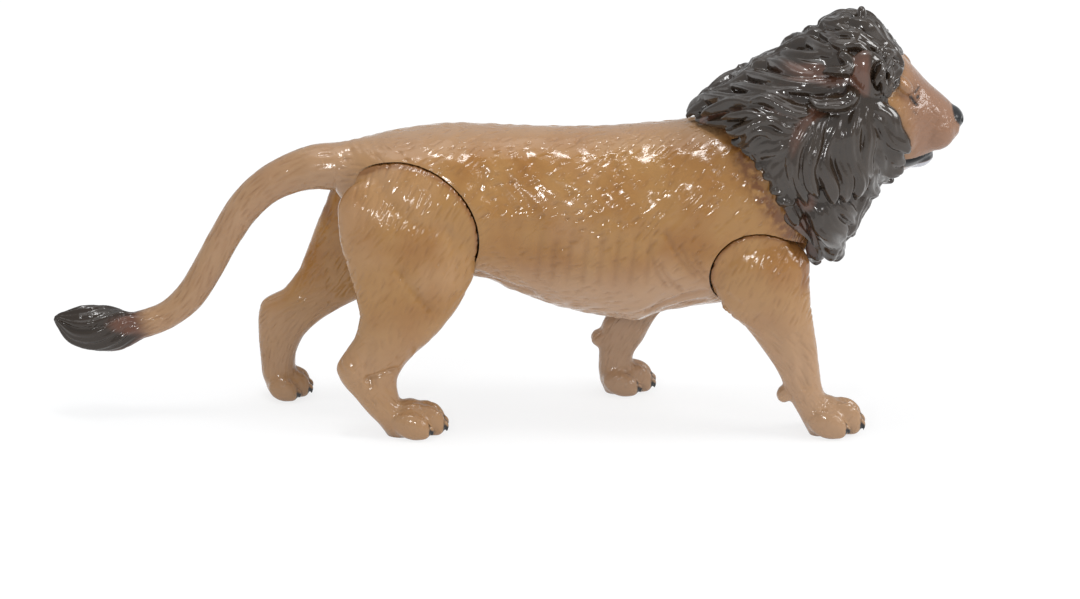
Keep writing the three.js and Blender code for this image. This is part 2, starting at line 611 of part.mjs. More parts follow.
function tail() {
  const path = new THREE.CatmullRomCurve3(TAIL_LINE.map(([x, z]) => new THREE.Vector3(x, 0, z)));
  const last = TAIL_LINE.length - 1;
  const radius = profile(TAIL_LINE.map(([, , r], i) => [i / last, r]));
  const sides = 12;
  const stations = 20;
  const across = new THREE.Vector3(0, 1, 0);
  const rings = spread(0, 1, stations).map((t) => {
    const at = path.getPoint(t);
    const up = new THREE.Vector3().crossVectors(path.getTangent(t), across).normalize();
    return Array.from({ length: sides }, (_, k) => {
      const angle = (k / sides) * 2 * Math.PI;
      return at.clone()
        .addScaledVector(across, Math.cos(angle) * radius(t))
        .addScaledVector(up, Math.sin(angle) * radius(t));
    });
  });
  rings[0].forEach((p) => p.setX(TAIL_ROOT));
  const plug = barAlong(TAIL_LINE[0][1], TAIL_PLUG.radius, TAIL_ROOT - WALL, TAIL_ROOT + TAIL_PLUG.long);
  return loft(rings).add(plug);
}

// Assembly

const LEGS = [
  ['right_fore', RIGHT_FORE], ['left_fore', LEFT_FORE], ['right_hind', RIGHT_HIND], ['left_hind', LEFT_HIND],
];

const lion = new THREE.Group();
lion.name = 'lion_figure';
lion.add(piece('torso_right_shell', torsoShell(-1), TAN_PVC));
lion.add(piece('torso_left_shell', torsoShell(1), TAN_PVC));
lion.add(piece('head', head(), TAN_PVC));
lion.add(piece('mane', mane(), DARK_PVC));
lion.add(piece('tail', tail(), TAN_PVC));
LEGS.forEach(([name, spec]) => {
  lion.add(piece(`${name}_leg`, leg(spec), TAN_PVC));
  lion.add(piece(`${name}_washer`, washer(spec.pivot, spec.side), STEEL));
  lion.add(piece(`${name}_screw`, screw(spec.pivot, spec.side), STEEL));
});

export default lion;
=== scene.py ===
# Looks of the walking lion figure: glossy moulded PVC with incised fur, a sculpted mane and painted details.
# Shapes are worked out in millimetres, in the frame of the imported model, and turned into metres at the end.

import math

import bmesh
import bpy
import numpy as np
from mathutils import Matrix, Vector
from mathutils.bvhtree import BVHTree
from mathutils.kdtree import KDTree


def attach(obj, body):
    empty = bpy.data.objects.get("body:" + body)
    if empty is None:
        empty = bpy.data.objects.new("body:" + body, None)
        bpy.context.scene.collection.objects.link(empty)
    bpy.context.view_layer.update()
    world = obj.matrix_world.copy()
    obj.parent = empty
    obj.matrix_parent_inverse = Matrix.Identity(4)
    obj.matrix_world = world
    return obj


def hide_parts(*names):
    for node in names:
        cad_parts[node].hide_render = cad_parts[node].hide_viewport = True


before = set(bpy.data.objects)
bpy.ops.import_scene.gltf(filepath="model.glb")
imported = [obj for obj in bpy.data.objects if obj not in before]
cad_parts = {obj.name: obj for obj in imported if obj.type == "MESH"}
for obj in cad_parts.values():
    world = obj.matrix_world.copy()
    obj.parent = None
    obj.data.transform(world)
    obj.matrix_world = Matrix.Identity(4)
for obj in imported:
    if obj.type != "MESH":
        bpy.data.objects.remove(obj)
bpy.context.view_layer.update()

MM = 0.001
SEED = 7

# Height of the floor under the soles in the drawing's own measure; finished points are set down by it
GROUND = 1.8
SET_DOWN = np.array([0.0, 0.0, GROUND])

# Main sizes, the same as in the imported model, apart from a narrower seam round the legs
SQUARENESS = 2.2
HIP = {"x": -35.0, "z": 70.0, "radius": 25.0}
SHOULDER = {"x": 82.0, "z": 58.0, "radius": 15.5}
POCKET_FLOOR = 11.0
SEAM_GAP = 0.45
FACE_GAP = 0.4

# A distance from the middle plane outside everything, and details of meshes that all pieces share
FAR_OUT = 60.0
BAR_SIDES = 160
POLE_GAP = 0.04
SHARP_ANGLE = math.radians(55)

# The camera of the photograph
TARGET = Vector((0.0104, 0.0, 0.0401))
CAMERA_FAR = 4.5
CAMERA_ELEVATION = math.radians(20)
CAMERA_AT = TARGET + CAMERA_FAR * Vector((0, -math.cos(CAMERA_ELEVATION), math.sin(CAMERA_ELEVATION)))
FRAME_WIDE = 0.3575
SENSOR = 36.0
PHOTO_WIDE, PHOTO_HIGH = 1080, 599

# Torso lines from the tail root to the chest, as (x, value)
BACK = [
    (-57, 96.4), (-50, 97.6), (-36, 99.9), (-20, 101.7), (1, 101.6), (27, 101.3),
    (42, 102.3), (59, 103.6), (75, 107), (94, 112), (100.4, 113),
]
BELLY = [
    (-57, 81), (-48, 64), (-36, 56), (-20, 53), (-8, 51.5), (1, 47.4), (20, 40.4),
    (35, 37.4), (42, 36.4), (50, 39.5), (59, 41.3), (71, 43), (84, 45), (92, 50), (97, 58), (100.4, 66),
]
FLANK = [
    (-57, 8.4), (-52, 10.8), (-46, 16.5), (-38, 23.2), (-30, 24.8), (-20, 24.5), (1, 22.5), (27, 25),
    (42, 26), (59, 26.5), (75, 26), (85, 25.5), (92, 23.5), (97, 19.5), (100.4, 14),
]

# Tail centre line in the middle plane, as (x, z, radius)
TAIL = [
    (-57, 88.7, 7.8), (-64, 88.4, 7.4), (-72, 86, 6.6), (-80, 81.6, 6.0), (-87.5, 74, 5.6), (-94, 63.5, 5.2),
    (-99.5, 53, 5.1), (-105.5, 43.2, 5), (-113, 36.6, 4.6), (-122, 33, 4.7), (-129, 31.6, 6.8),
    (-136, 31.8, 7.6), (-143, 33, 6.4), (-148.6, 34.8, 2.6), (-150.5, 35.4, 0.7),
]

# Legs: rows of (z, back x, front x, inner y, outer y), and the paw
# Each leg's share of pale dusty paint partly stands in for painted sheen and for light bounced from the
# floor. It is set higher on the far foreleg as painted light where the body shades it, and its top value is
# the height where it has faded out
LEGS = {
    "right_hind": {
        "pivot": HIP, "side": -1, "dust_and_sheen": 0.5, "dust_and_sheen_top": 52,
        "rows": [
            (90, -46, -26, 11, 18), (86, -53.2, -20, 10.5, 21), (80, -56.2, -14, 10, 24),
            (70, -55.6, -11, 10, 26.4), (60, -53, -10.8, 10, 26.8), (50, -50.4, -14.6, 11.5, 26.4),
            (43, -49.2, -18.8, 12.3, 25.8),
            (36, -50.6, -24.4, 12.8, 25.2), (30, -54.2, -30.6, 13.2, 24.6), (25, -56.8, -34.8, 13.6, 24.2),
            (20, -55.2, -36.8, 13.8, 24), (15, -51, -36.2, 13.8, 24.6), (10, -47, -33.4, 14, 25),
            (5, -42.4, -31, 14.6, 24.8), (-1, -38.6, -31, 17, 22),
        ],
        "paw": {"heel": -39, "toes": -20.7, "high": 11.2, "y": 19.6},
    },
    "left_hind": {
        "pivot": HIP, "side": 1, "dust_and_sheen": 0.45, "dust_and_sheen_top": 52,
        "rows": [
            (90, -46, -26, 11, 18), (86, -53.2, -20, 10.5, 21), (80, -57, -16, 10, 24),
            (72, -60, -14, 10, 26.2), (61, -64.1, -20, 10, 26.8), (52, -67.3, -28, 11.5, 26),
            (46, -69.8, -34, 11.8, 25.2),
            (39, -75, -44, 11.8, 24.2), (34, -82.4, -54, 11.8, 23.4), (28, -83.4, -63.4, 11.8, 22.6),
            (22, -83.2, -68.8, 11.8, 22.2), (15, -82.6, -71, 11.8, 22.2), (10, -82.2, -71, 11.4, 22.6),
            (5, -80.4, -70, 12, 22), (-1, -77.4, -70, 14.5, 19.5),
        ],
        "paw": {"heel": -80.6, "toes": -66, "high": 9.8, "y": 17},
    },
    "right_fore": {
        "pivot": SHOULDER, "side": -1, "dust_and_sheen": 0.75, "dust_and_sheen_top": 70,
        "rows": [
            (72, 76, 90, 11, 23), (66, 69, 97, 10.5, 26), (61, 66.8, 99.4, 10, 27.2),
            (55, 67.2, 99.4, 10.5, 27.4), (48.6, 69.6, 99.6, 11.5, 26.8), (44.4, 72.4, 100.2, 12.2, 26.2),
            (39.8, 77.8, 100.8, 12.8, 25.6), (32.7, 83, 101.8, 13.4, 24.6), (24, 88.6, 102.8, 13.8, 24),
            (18, 91.2, 103.6, 13.6, 24), (13.5, 93.2, 105.4, 13.2, 24.2), (8, 96.2, 106.6, 13.4, 24.2),
            (-1, 100.6, 106.6, 16, 21),
        ],
        "paw": {"heel": 98.2, "toes": 117, "high": 12, "y": 18.6},
        "pad": (91, 15.5),
    },
    "left_fore": {
        "pivot": SHOULDER, "side": 1, "dust_and_sheen": 0.9, "dust_and_sheen_top": 60,
        "rows": [
            (72, 76, 90, 11, 23), (66, 69, 96, 10.5, 26), (58, 66.6, 97.4, 10.5, 27.2),
            (52, 62.5, 96, 12, 27.6), (46, 55.5, 88, 14, 27.6), (40, 47, 72, 15.2, 27.2),
            (35, 39.5, 59.6, 15.8, 27), (30, 33.4, 50.6, 16.2, 26.8), (25, 30.8, 47.3, 16.4, 26.8),
            (20, 30, 44.8, 16.6, 26.8), (15, 30, 41.6, 16.8, 26.8), (10, 29.8, 40.8, 16.4, 27.2),
            (5, 30.8, 40, 16.8, 27), (-1, 33, 40, 19, 25),
        ],
        "paw": {"heel": 30.5, "toes": 48.2, "high": 10.4, "y": 22},
        "pad": (29.8, 20.5),
    },
}


# Curves and random numbers

def curve(points):
    """A smooth curve through (place, value) points that never overshoots them."""
    table = np.array(points, float)
    order = np.argsort(table[:, 0])
    places, values = table[order, 0], table[order, 1]
    spans = np.diff(places)
    slopes = np.diff(values) / spans
    product = slopes[:-1] * slopes[1:]
    total = np.where(product > 0, slopes[:-1] + slopes[1:], 1)
    middle = np.where(product > 0, 2 * product / total, 0)
    tangents = np.concatenate([slopes[:1], middle, slopes[-1:]])

    def at(place):
        place = np.asarray(place, float)
        i = np.clip(np.searchsorted(places, place, side="right") - 1, 0, len(spans) - 1)
        t = np.clip((place - places[i]) / spans[i], 0, 1)
        step = values[i + 1] - values[i]
        a = tangents[i] * spans[i]
        b = tangents[i + 1] * spans[i]
        return values[i] + t * (a + t * (3 * step - 2 * a - b + t * (a + b - 2 * step)))

    return at


def round_turn(count, start=0.0):
    """Evenly spaced angles over one full turn."""
    return (np.arange(count) + start) / count * 2 * math.pi


def run_along(path):
    """Length walked along a path up to each of its points."""
    walked = np.linalg.norm(np.diff(path, axis=-2), axis=-1).cumsum(axis=-1)
    return np.concatenate([np.zeros((*walked.shape[:-1], 1)), walked], axis=-1)


def chance(row, column, salt):
    """A repeatable number from 0 to 1 for each cell of a grid."""
    scrambled = np.sin(row * 127.1 + column * 311.7 + (salt + SEED) * 74.7) * 43758.5453
    return scrambled - np.floor(scrambled)


def rise(low, high, value):
    """Goes smoothly from 0 to 1 between two limits."""
    t = np.clip((value - low) / (high - low), 0, 1)
    return t * t * (3 - 2 * t)


def fall(low, high, value):
    """Goes smoothly from 1 to 0 between two limits."""
    return 1 - rise(low, high, value)


def bell(gap, width):
    """One where the gap is nothing, fading over the width."""
    return np.exp(-((gap / width) ** 2))


# Fur by place, as (length, distance of the rows, half width, salt of the random draw, share left out)
FLANK_FUR = (4.6, 2.3, 0.46, 1, 0.4)
RUMP_FUR = (9.0, 1.9, 0.45, 3, 0.0)
LOWER_LEG_FUR = (5.4, 1.8, 0.44, 11, 0.15)
UPPER_LEG_FUR = (6.5, 1.5, 0.4, 13, 0.15)
TAIL_FUR = (8.0, 1.75, 0.42, 21, 0.0)
FACE_FUR = (3.4, 1.2, 0.28, 31, 0.0)
FACE_WRINKLES = (4.6, 2.0, 0.4, 37, 0.0)
FACE_FOLDS = (7.0, 3.4, 0.6, 39, 0.0)
MANE_STRANDS = (11.0, 1.6, 0.38, 51, 0.0)

# How far strokes stray along and across their row and lean, and the fixed and random share of size and depth
STRAY_ALONG, STRAY_ACROSS, STRAY_LEAN = 0.6, 0.7, 0.36
SHORTEST, LONGER = 0.25, 0.35
FAINTEST, STRONGER = 0.35, 0.65


def fur_strokes(along, across, kind):
    """Depth from 0 to 1 of short strokes set in staggered rows, each with its own length and lean."""
    length, pitch, width, salt, missing = kind
    depth = np.zeros_like(along)
    own_row = np.floor(across / pitch)
    for row_step in (-1, 0, 1):
        row = own_row + row_step
        shift = chance(row, 0, salt) * length
        own_column = np.floor((along + shift) / length)
        for column_step in (-1, 0, 1):
            column = own_column + column_step
            slid, set_off, leant, size, force, kept = [chance(row, column, salt + k) for k in range(1, 7)]
            middle = (column + 0.5 + STRAY_ALONG * (slid - 0.5)) * length - shift
            line = (row + 0.5 + STRAY_ACROSS * (set_off - 0.5)) * pitch
            ahead = along - middle
            beside = across - line - STRAY_LEAN * (leant - 0.5) * ahead
            half = length * (SHORTEST + LONGER * size)
            taper = np.clip(1 - (ahead / half) ** 2, 0, 1)
            strength = (FAINTEST + STRONGER * force) * (kept >= missing)
            depth = np.maximum(depth, strength * taper * bell(beside, width))
    return depth


def crease(x, z, line, width):
    """Nearness, from 0 to 1, to a drawn line of (x, z) points."""
    nearest = np.full(x.shape, np.inf)
    for (ax, az), (bx, bz) in zip(line[:-1], line[1:]):
        run = (bx - ax) ** 2 + (bz - az) ** 2
        t = np.clip(((x - ax) * (bx - ax) + (z - az) * (bz - az)) / run, 0, 1)
        nearest = np.minimum(nearest, np.hypot(x - ax - t * (bx - ax), z - az - t * (bz - az)))
    return bell(nearest, width)


def mound(x, z, at, reach):
    """A soft round swelling about a point in side view."""
    return np.exp(-(((x - at[0]) / reach[0]) ** 2) - ((z - at[1]) / reach[1]) ** 2)


def mounds(x, z, table):
    """Height of several swellings, each given as (place, reach, height)."""
    return sum(height * mound(x, z, at, reach) for at, reach, height in table)


def superellipse(angle):
    power = 2 / SQUARENESS
    across = np.sign(np.cos(angle)) * np.abs(np.cos(angle)) ** power
    up = np.sign(np.sin(angle)) * np.abs(np.sin(angle)) ** power
    return across, up


def section_rings(places, angles, lines, grow=0.0, least_wide=0.0, least_half=0.0):
    """Rounded rings across the body between a top and a bottom line, as wide as a third line says."""
    top, bottom, side = [line(places)[:, None] for line in lines]
    across, up = superellipse(angles)
    y = across * np.maximum(side + grow, least_wide)
    z = (top + bottom) / 2 + up * np.maximum((top - bottom) / 2 + grow, least_half)
    return np.stack([np.broadcast_to(places[:, None], y.shape), y, z], axis=-1)


def smooth_path(points, count):
    """Points and directions along a smooth curve through the given points."""
    given = np.array(points, float)
    table = np.concatenate([2 * given[:1] - given[1:2], given, 2 * given[-1:] - given[-2:-1]])
    places = np.linspace(0, len(given) - 1, count)
    i = np.clip(places.astype(int), 0, len(given) - 2)
    t = (places - i)[:, None]
    a, b, c, d = table[i], table[i + 1], table[i + 2], table[i + 3]
    at = 0.5 * (2 * b + (c - a) * t + (2 * a - 5 * b + 4 * c - d) * t ** 2 + (3 * b - a - 3 * c + d) * t ** 3)
    ahead = np.gradient(at, axis=0)
    return at, ahead / np.maximum(np.linalg.norm(ahead, axis=1, keepdims=True), 1e-9)


# Meshes

def new_mesh(name, points, faces):
    mesh = bpy.data.meshes.new(name)
    mesh.from_pydata(((np.asarray(points) - SET_DOWN) * MM).tolist(), [], faces)
    return mesh


def new_object(name, points, faces):
    mesh = new_mesh(name, points, faces)
    mesh.validate()
    made = bpy.data.objects.new(name, mesh)
    bpy.context.scene.collection.objects.link(made)
    return made


def solid(name, points, faces):
    """A new object with all its faces turned to look outward."""
    made = new_object(name, points, faces)
    skin = bmesh.new()
    skin.from_mesh(made.data)
    bmesh.ops.recalc_face_normals(skin, faces=skin.faces)
    skin.to_mesh(made.data)
    skin.free()
    return made


def numbers_of(items, name, width, kind=float):
    flat = np.empty(len(items) * width, kind)
    items.foreach_get(name, flat)
    return flat.reshape(-1, width)


def points_of(piece):
    return numbers_of(piece.data.vertices, "co", 3) / MM + SET_DOWN


def normals_of(piece):
    return numbers_of(piece.data.vertex_normals, "vector", 3, np.float32).astype(float)


def edges_of(piece):
    return numbers_of(piece.data.edges, "vertices", 2, np.int32)


def set_points(piece, points):
    piece.data.vertices.foreach_set("co", ((points - SET_DOWN) * MM).ravel())
    piece.data.update()


def store(piece, name, values):
    """Keeps one number per point for the piece's paint."""
    attribute = piece.data.attributes.new(name, "FLOAT", "POINT")
    attribute.data.foreach_set("value", np.asarray(values, np.float32).ravel())


def relax(points, edges, rounds, share):
    """Each point moves toward the middle of its neighbours."""
    count = np.bincount(edges.ravel(), minlength=len(points))[:, None]
    for _ in range(rounds):
        total = np.empty_like(points)
        for axis in range(3):
            column = points[:, axis]
            total[:, axis] = np.bincount(edges[:, 0], column[edges[:, 1]], len(points))
            total[:, axis] += np.bincount(edges[:, 1], column[edges[:, 0]], len(points))
        points = points + share * (total / count - points)
    return points


def relax_piece(piece, rounds, share):
    set_points(piece, relax(points_of(piece), edges_of(piece), rounds, share))


def modified(piece, kind, **settings):
    """Replaces the piece's mesh by the result of one modifier."""
    modifier = piece.modifiers.new(kind.lower(), kind)
    for name, value in settings.items():
        setattr(modifier, name, value)
    bpy.context.view_layer.update()
    view = bpy.context.evaluated_depsgraph_get()
    shaped = bpy.data.meshes.new_from_object(piece.evaluated_get(view))
    piece.modifiers.clear()
    old = piece.data
    piece.data = shaped
    bpy.data.meshes.remove(old)


def remesh(piece, voxel):
    """One even skin round everything in the piece."""
    modified(piece, "REMESH", mode="VOXEL", voxel_size=voxel * MM)


def cut(piece, tool, operation="DIFFERENCE"):
    modified(piece, "BOOLEAN", operation=operation, solver="MANIFOLD", object=tool)
    bpy.data.objects.remove(tool)
    return piece


def loft(rings):
    """Points and faces of a skin through rings of points, with a flat end on each side."""
    stations, around = rings.shape[:2]
    number = np.arange(stations * around).reshape(stations, around)
    here, ahead = number[:-1], number[1:]
    corners = [here, np.roll(here, -1, axis=1), np.roll(ahead, -1, axis=1), ahead]
    faces = np.stack(corners, axis=-1).reshape(-1, 4).tolist()
    faces.append(number[0][::-1].tolist())
    faces.append(number[-1].tolist())
    return rings.reshape(-1, 3), faces


def combined(bodies):
    """One (points, faces) body made of several."""
    points, faces, start = [], [], 0
    for body_points, body_faces in bodies:
        points.append(body_points)
        faces.extend([[corner + start for corner in face] for face in body_faces])
        start += len(body_points)
    return np.concatenate(points), faces


def merged(name, bodies):
    return solid(name, *combined(bodies))


def joined(piece, other):
    """Moves the other object's mesh into the piece."""
    bodies = [(points_of(one), [list(face.vertices) for face in one.data.polygons]) for one in (piece, other)]
    old = piece.data
    piece.data = new_mesh(piece.name, *combined(bodies))
    bpy.data.meshes.remove(old)
    bpy.data.objects.remove(other)


def ellipsoid(at, size, tilt=0.0, turn=0.0, around=28, along=16):
    """A closed egg-like body; tilt turns it about Y and turn about Z."""
    polar = np.linspace(POLE_GAP, math.pi - POLE_GAP, along)[:, None]
    angle = round_turn(around)
    ring = [np.cos(polar) + 0 * angle, np.sin(polar) * np.cos(angle), np.sin(polar) * np.sin(angle)]
    x, y, z = [part * reach for part, reach in zip(ring, size)]
    x, z = x * math.cos(tilt) + z * math.sin(tilt), z * math.cos(tilt) - x * math.sin(tilt)
    x, y = x * math.cos(turn) - y * math.sin(turn), y * math.cos(turn) + x * math.sin(turn)
    return loft(np.stack([x, y, z], axis=-1) + np.array(at))


def bar_across(pivot, radius, from_y, to_y):
    """A round bar that runs across the body."""
    angle = round_turn(BAR_SIDES)
    x, z = pivot["x"] + radius * np.cos(angle), pivot["z"] + radius * np.sin(angle)
    ring = np.stack([x, 0 * angle, z], axis=-1)
    rings = np.stack([ring + [0, from_y, 0], ring + [0, to_y, 0]])
    return solid("bar", *loft(rings if to_y > from_y else rings[::-1]))


def hollow(piece, pivot, radius, side, floor):
    """Cuts a round pocket that is open to one side."""
    cut(piece, bar_across(pivot, radius, side * floor, side * FAR_OUT))


# Torso

TORSO_LINES = curve(BACK), curve(BELLY), curve(FLANK)
BACK_LINE = TORSO_LINES[0]
TORSO_REAR, TORSO_FRONT = BACK[0][0], BACK[-1][0]
TORSO_STATIONS, TORSO_AROUND = 390, 230
FORM_STATIONS, FORM_AROUND = 150, 200

# Ribs, wrinkles and folds of the sculpted skin, as (x, z) points seen from the side
RIB_PLACES = [9, 14, 19, 24.2, 29.4, 34.6, 39.8, 45]
RIB_TOP, RIB_BOTTOM, RIB_LEAN = 73, 57, 1.6
RIB_START = (RIB_BOTTOM - 4, RIB_BOTTOM + 2)
RIB_END = (RIB_TOP - 5, RIB_TOP + 3)
RIB_WIDE, RIB_SHARE = 1.0, 0.7
ARMPIT_WRINKLES = [
    [(52, 74), (56, 66), (61, 59)], [(56.5, 70), (60, 63), (65, 57)], [(60.5, 67), (64, 61), (68, 56)],
    [(47, 66), (49, 60), (52, 55)], [(50, 63), (53, 57.5), (57, 53)],
]
BELLY_FOLDS = [
    [(46, 44), (52, 47.5), (58, 50.5), (66, 53)], [(52, 43.5), (58, 46), (65, 47.5)],
    [(-11, 57), (-2, 53), (8, 50)],
]
FLANK_FOLD = [(-8, 93), (-9.5, 88), (-14, 84.5)]

# Wrinkles and folds as (line, width, share of the full depth), and muscles as (place, reach, height)
SKIN_CREASES = [
    *[(line, 0.9, 0.85) for line in ARMPIT_WRINKLES], *[(line, 1.1, 1.0) for line in BELLY_FOLDS],
    (FLANK_FOLD, 1.5, 0.8),
]
MUSCLES = [
    ((-12, 96), (14, 4.5), 1.0), ((66, 92), (11, 14), 0.9), ((-17, 80), (5, 5), 0.8),
    ((-4, 88), (9, 6), -0.9), ((48, 84), (7, 16), -0.6), ((20, 52), (20, 8), 0.7),
]
# Depths of the drawn lines and the fur strokes, the painted shade laid in them, and the unevenness of the
# skin
LINE_DEEP, LINE_SHADE, STROKE_DEEP, STROKE_SHADE, UNEVEN = 0.7, 0.3, 0.5, 0.22, 0.2
SEAM_DEEP, SEAM_SOFT = 0.3, 0.7
LINES_OFF_SEAM, MUSCLES_OFF_SEAM, REAR_RUNOUT = 4, 7, 3
MIDDLE_STROKES = 0.35

# The lie of the fur in degrees at the belly and at the back, and where the rump's own fur begins
FUR_SLOPES = (24, 62)
FLOW_STEPS = 200
RUMP_LEAN = 0.25
RUMP_FRONT = (-50, -38)

# Pale dusty paint, which also stands in for painted sheen along the ridge of the back and for painted bounce
# light from the floor on the belly: limits of its fade on belly, ridge of the back and rump, and its share on
# each
DUST_AND_SHEEN_BELLY, DUST_AND_SHEEN_RIDGE, DUST_AND_SHEEN_RUMP = (50, 68), (-5, 1), (-56, -44)
DUST_AND_SHEEN_SHARES = (0.85, 0.6, 0.6)

# Where the near foreleg swells forward of its round cap, and the edge of the mane that the paint drifted from
SHOULDER_FRONT = {"x": 85.4, "z": 56.0, "radius": 16.2}
MANE_EDGE = [(69, 109), (75, 103.5), (81.6, 89.5), (90, 77), (96.5, 66)]
OVERSPRAY_WIDE, OVERSPRAY = 3.0, 1.1


def plain_torso_rings(grow=0.0, stations=FORM_STATIONS, around=FORM_AROUND):
    places = np.linspace(TORSO_REAR, TORSO_FRONT, stations)
    places[0] -= grow
    places[-1] += grow
    inside = np.clip(places, TORSO_REAR, TORSO_FRONT)
    rings = section_rings(inside, round_turn(around, 0.5), TORSO_LINES, grow)
    rings[..., 0] = places[:, None]
    return rings


def torso_form(grow=0.0, stations=FORM_STATIONS, around=FORM_AROUND):
    """The whole torso as one plain closed body."""
    return solid("form", *loft(plain_torso_rings(grow, stations, around)))


def skin_lines(x, z):
    """Depth from 0 to 1 of ribs, wrinkles and folds drawn into the skin."""
    depth = np.zeros_like(x)
    fade = rise(*RIB_START, z) * fall(*RIB_END, z)
    for place in RIB_PLACES:
        line = place + (z - RIB_BOTTOM) / (RIB_TOP - RIB_BOTTOM) * RIB_LEAN
        depth = np.maximum(depth, RIB_SHARE * fade * bell(x - line, RIB_WIDE))
    for line, width, share in SKIN_CREASES:
        depth = np.maximum(depth, share * crease(x, z, line, width))
    return depth


def seam_distance(x, z):
    """Distance in side view from the nearer of the two round leg pockets."""
    hip, shoulder = [np.hypot(x - at["x"], z - at["z"]) - at["radius"] - SEAM_GAP for at in (HIP, SHOULDER)]
    return np.clip(np.minimum(hip, shoulder), 0, None)


def fur_flow(x, height):
    """Places along and across the lie of the fur, which stands steeper toward the back."""
    low, high = np.radians(FUR_SLOPES)
    steps = np.linspace(0, 1, FLOW_STEPS)
    angles = low + (high - low) * steps
    reach = height.max() / (len(steps) - 1)
    drift = np.concatenate([[0], np.cumsum(1 / np.tan(angles))[:-1]]) * reach
    length = np.concatenate([[0], np.cumsum(1 / np.sin(angles))[:-1]]) * reach
    share = height / height.max()
    across = (x - np.interp(share, steps, drift)) * math.sin((low + high) / 2)
    return np.interp(share, steps, length), across


def torso_fur(x, z, climb):
    """Depth of the strokes: steep on the flank, along the body on the rump."""
    flank = fur_strokes(*fur_flow(x, climb), FLANK_FUR)
    rump = fur_strokes(x + RUMP_LEAN * z, z - RUMP_LEAN * x, RUMP_FUR)
    rear = fall(*RUMP_FRONT, x)
    return flank * (1 - rear) + rear * rump


def torso_height(x, z, climb, angles, strokes):
    """Height of the sculpted skin over the plain torso, in millimetres."""
    at_side = rise(0, 0.35, np.cos(angles))[None, :]
    gap = seam_distance(x, z)
    lines = skin_lines(x, z) * at_side * rise(0, LINES_OFF_SEAM, gap)
    swell = np.sin(0.62 * x + 2 * np.sin(0.21 * z)) * np.sin(0.55 * climb + 1.7 * np.sin(0.17 * x))
    height = (mounds(x, z, MUSCLES) + UNEVEN * swell) * at_side * rise(0, MUSCLES_OFF_SEAM, gap)
    height -= LINE_DEEP * lines
    height -= STROKE_DEEP * strokes * (MIDDLE_STROKES + (1 - MIDDLE_STROKES) * at_side)
    height -= SEAM_DEEP * bell(gap, SEAM_SOFT)
    return height * rise(TORSO_REAR, TORSO_REAR + REAR_RUNOUT, x)


def outward_normals(rings):
    normal = np.cross(np.gradient(rings, axis=0), np.gradient(rings, axis=1))
    normal = normal / np.linalg.norm(normal, axis=-1, keepdims=True)
    away = rings - rings.mean(axis=1, keepdims=True)
    return normal * np.sign((normal * away).sum(axis=-1))[..., None]


def torso_half(name, side):
    """One moulded half: fine skin outside, flat along the middle plane, with pockets for its legs."""
    places = np.linspace(TORSO_REAR, TORSO_FRONT, TORSO_STATIONS)
    angles = np.linspace(-math.pi / 2, math.pi / 2, TORSO_AROUND)
    rings = section_rings(places, angles, TORSO_LINES)
    x, z = rings[..., 0], rings[..., 2]
    climb = run_along(rings)
    strokes = torso_fur(x, z, climb)
    height = torso_height(x, z, climb, angles, strokes)
    skin = rings + outward_normals(rings) * height[..., None]
    skin[:, [0, -1], 1] = 0
    skin[..., 1] *= side
    piece = solid(name, *loft(skin))
    store(piece, "stroke", strokes)
    for pivot in (HIP, SHOULDER):
        hollow(piece, pivot, pivot["radius"] + SEAM_GAP, side, POCKET_FLOOR)
    if side == LEGS["right_fore"]["side"]:
        hollow(piece, SHOULDER_FRONT, SHOULDER_FRONT["radius"], side, POCKET_FLOOR)
    paint_torso(piece)
    return piece


def paint_torso(piece):
    """Pale dusty tone on belly, back ridge and rump that partly stands in for painted sheen and bounce light,
    painted shade in ribs, folds and fur strokes, and red-brown overspray along the mane.
    """
    x, _, z = points_of(piece).T
    # Pale dusty paint, partly painted sheen on the back's ridge and painted bounce light on the belly
    fades = fall(*DUST_AND_SHEEN_BELLY, z), rise(*DUST_AND_SHEEN_RIDGE, z - BACK_LINE(x)), fall(*DUST_AND_SHEEN_RUMP, x)
    store(piece, "dust_and_sheen", np.maximum.reduce([share * fade for share, fade in zip(DUST_AND_SHEEN_SHARES, fades)]))
    strokes = numbers_of(piece.data.attributes["stroke"].data, "value", 1)[:, 0]
    # Painted shade in the ribs, folds and fur strokes
    store(piece, "groove_shade", np.clip(LINE_SHADE * skin_lines(x, z) + STROKE_SHADE * strokes, 0, 1))
    store(piece, "overspray_and_shade", np.clip(OVERSPRAY * crease(x, z, MANE_EDGE, OVERSPRAY_WIDE), 0, 1))


# Legs

LIMB_RINGS, LIMB_AROUND = 190, 110
LEG_DRAFT_VOXEL, LEG_VOXEL = 0.5, 0.36
LEG_RELAX, LEG_LAST_RELAX = (14, 0.5), (1, 0.4)
LEG_INNER = POCKET_FLOOR + FACE_GAP
TOE_OFFSETS = [-5.9, -2.1, 2.1, 5.9]
TOE_FAN, TIP_FAN = 0.03, 1.05
OUTER_TOE = 4.0
OUTER_TOE_BACK, OUTER_TOE_LOW = 0.26, 0.84
PAD_SIZE = (2.7, 3.3, 3.1)
CLAW_RINGS, CLAW_SIDES = 9, 14
CLAW_RADIUS, CLAW_POINT, CLAW_ARCH = 1.25, 0.12, 0.9
CLAW_PAINT, CLAW_PAINT_BACK = (1.25, 1.6), (-2.6, -1.9)

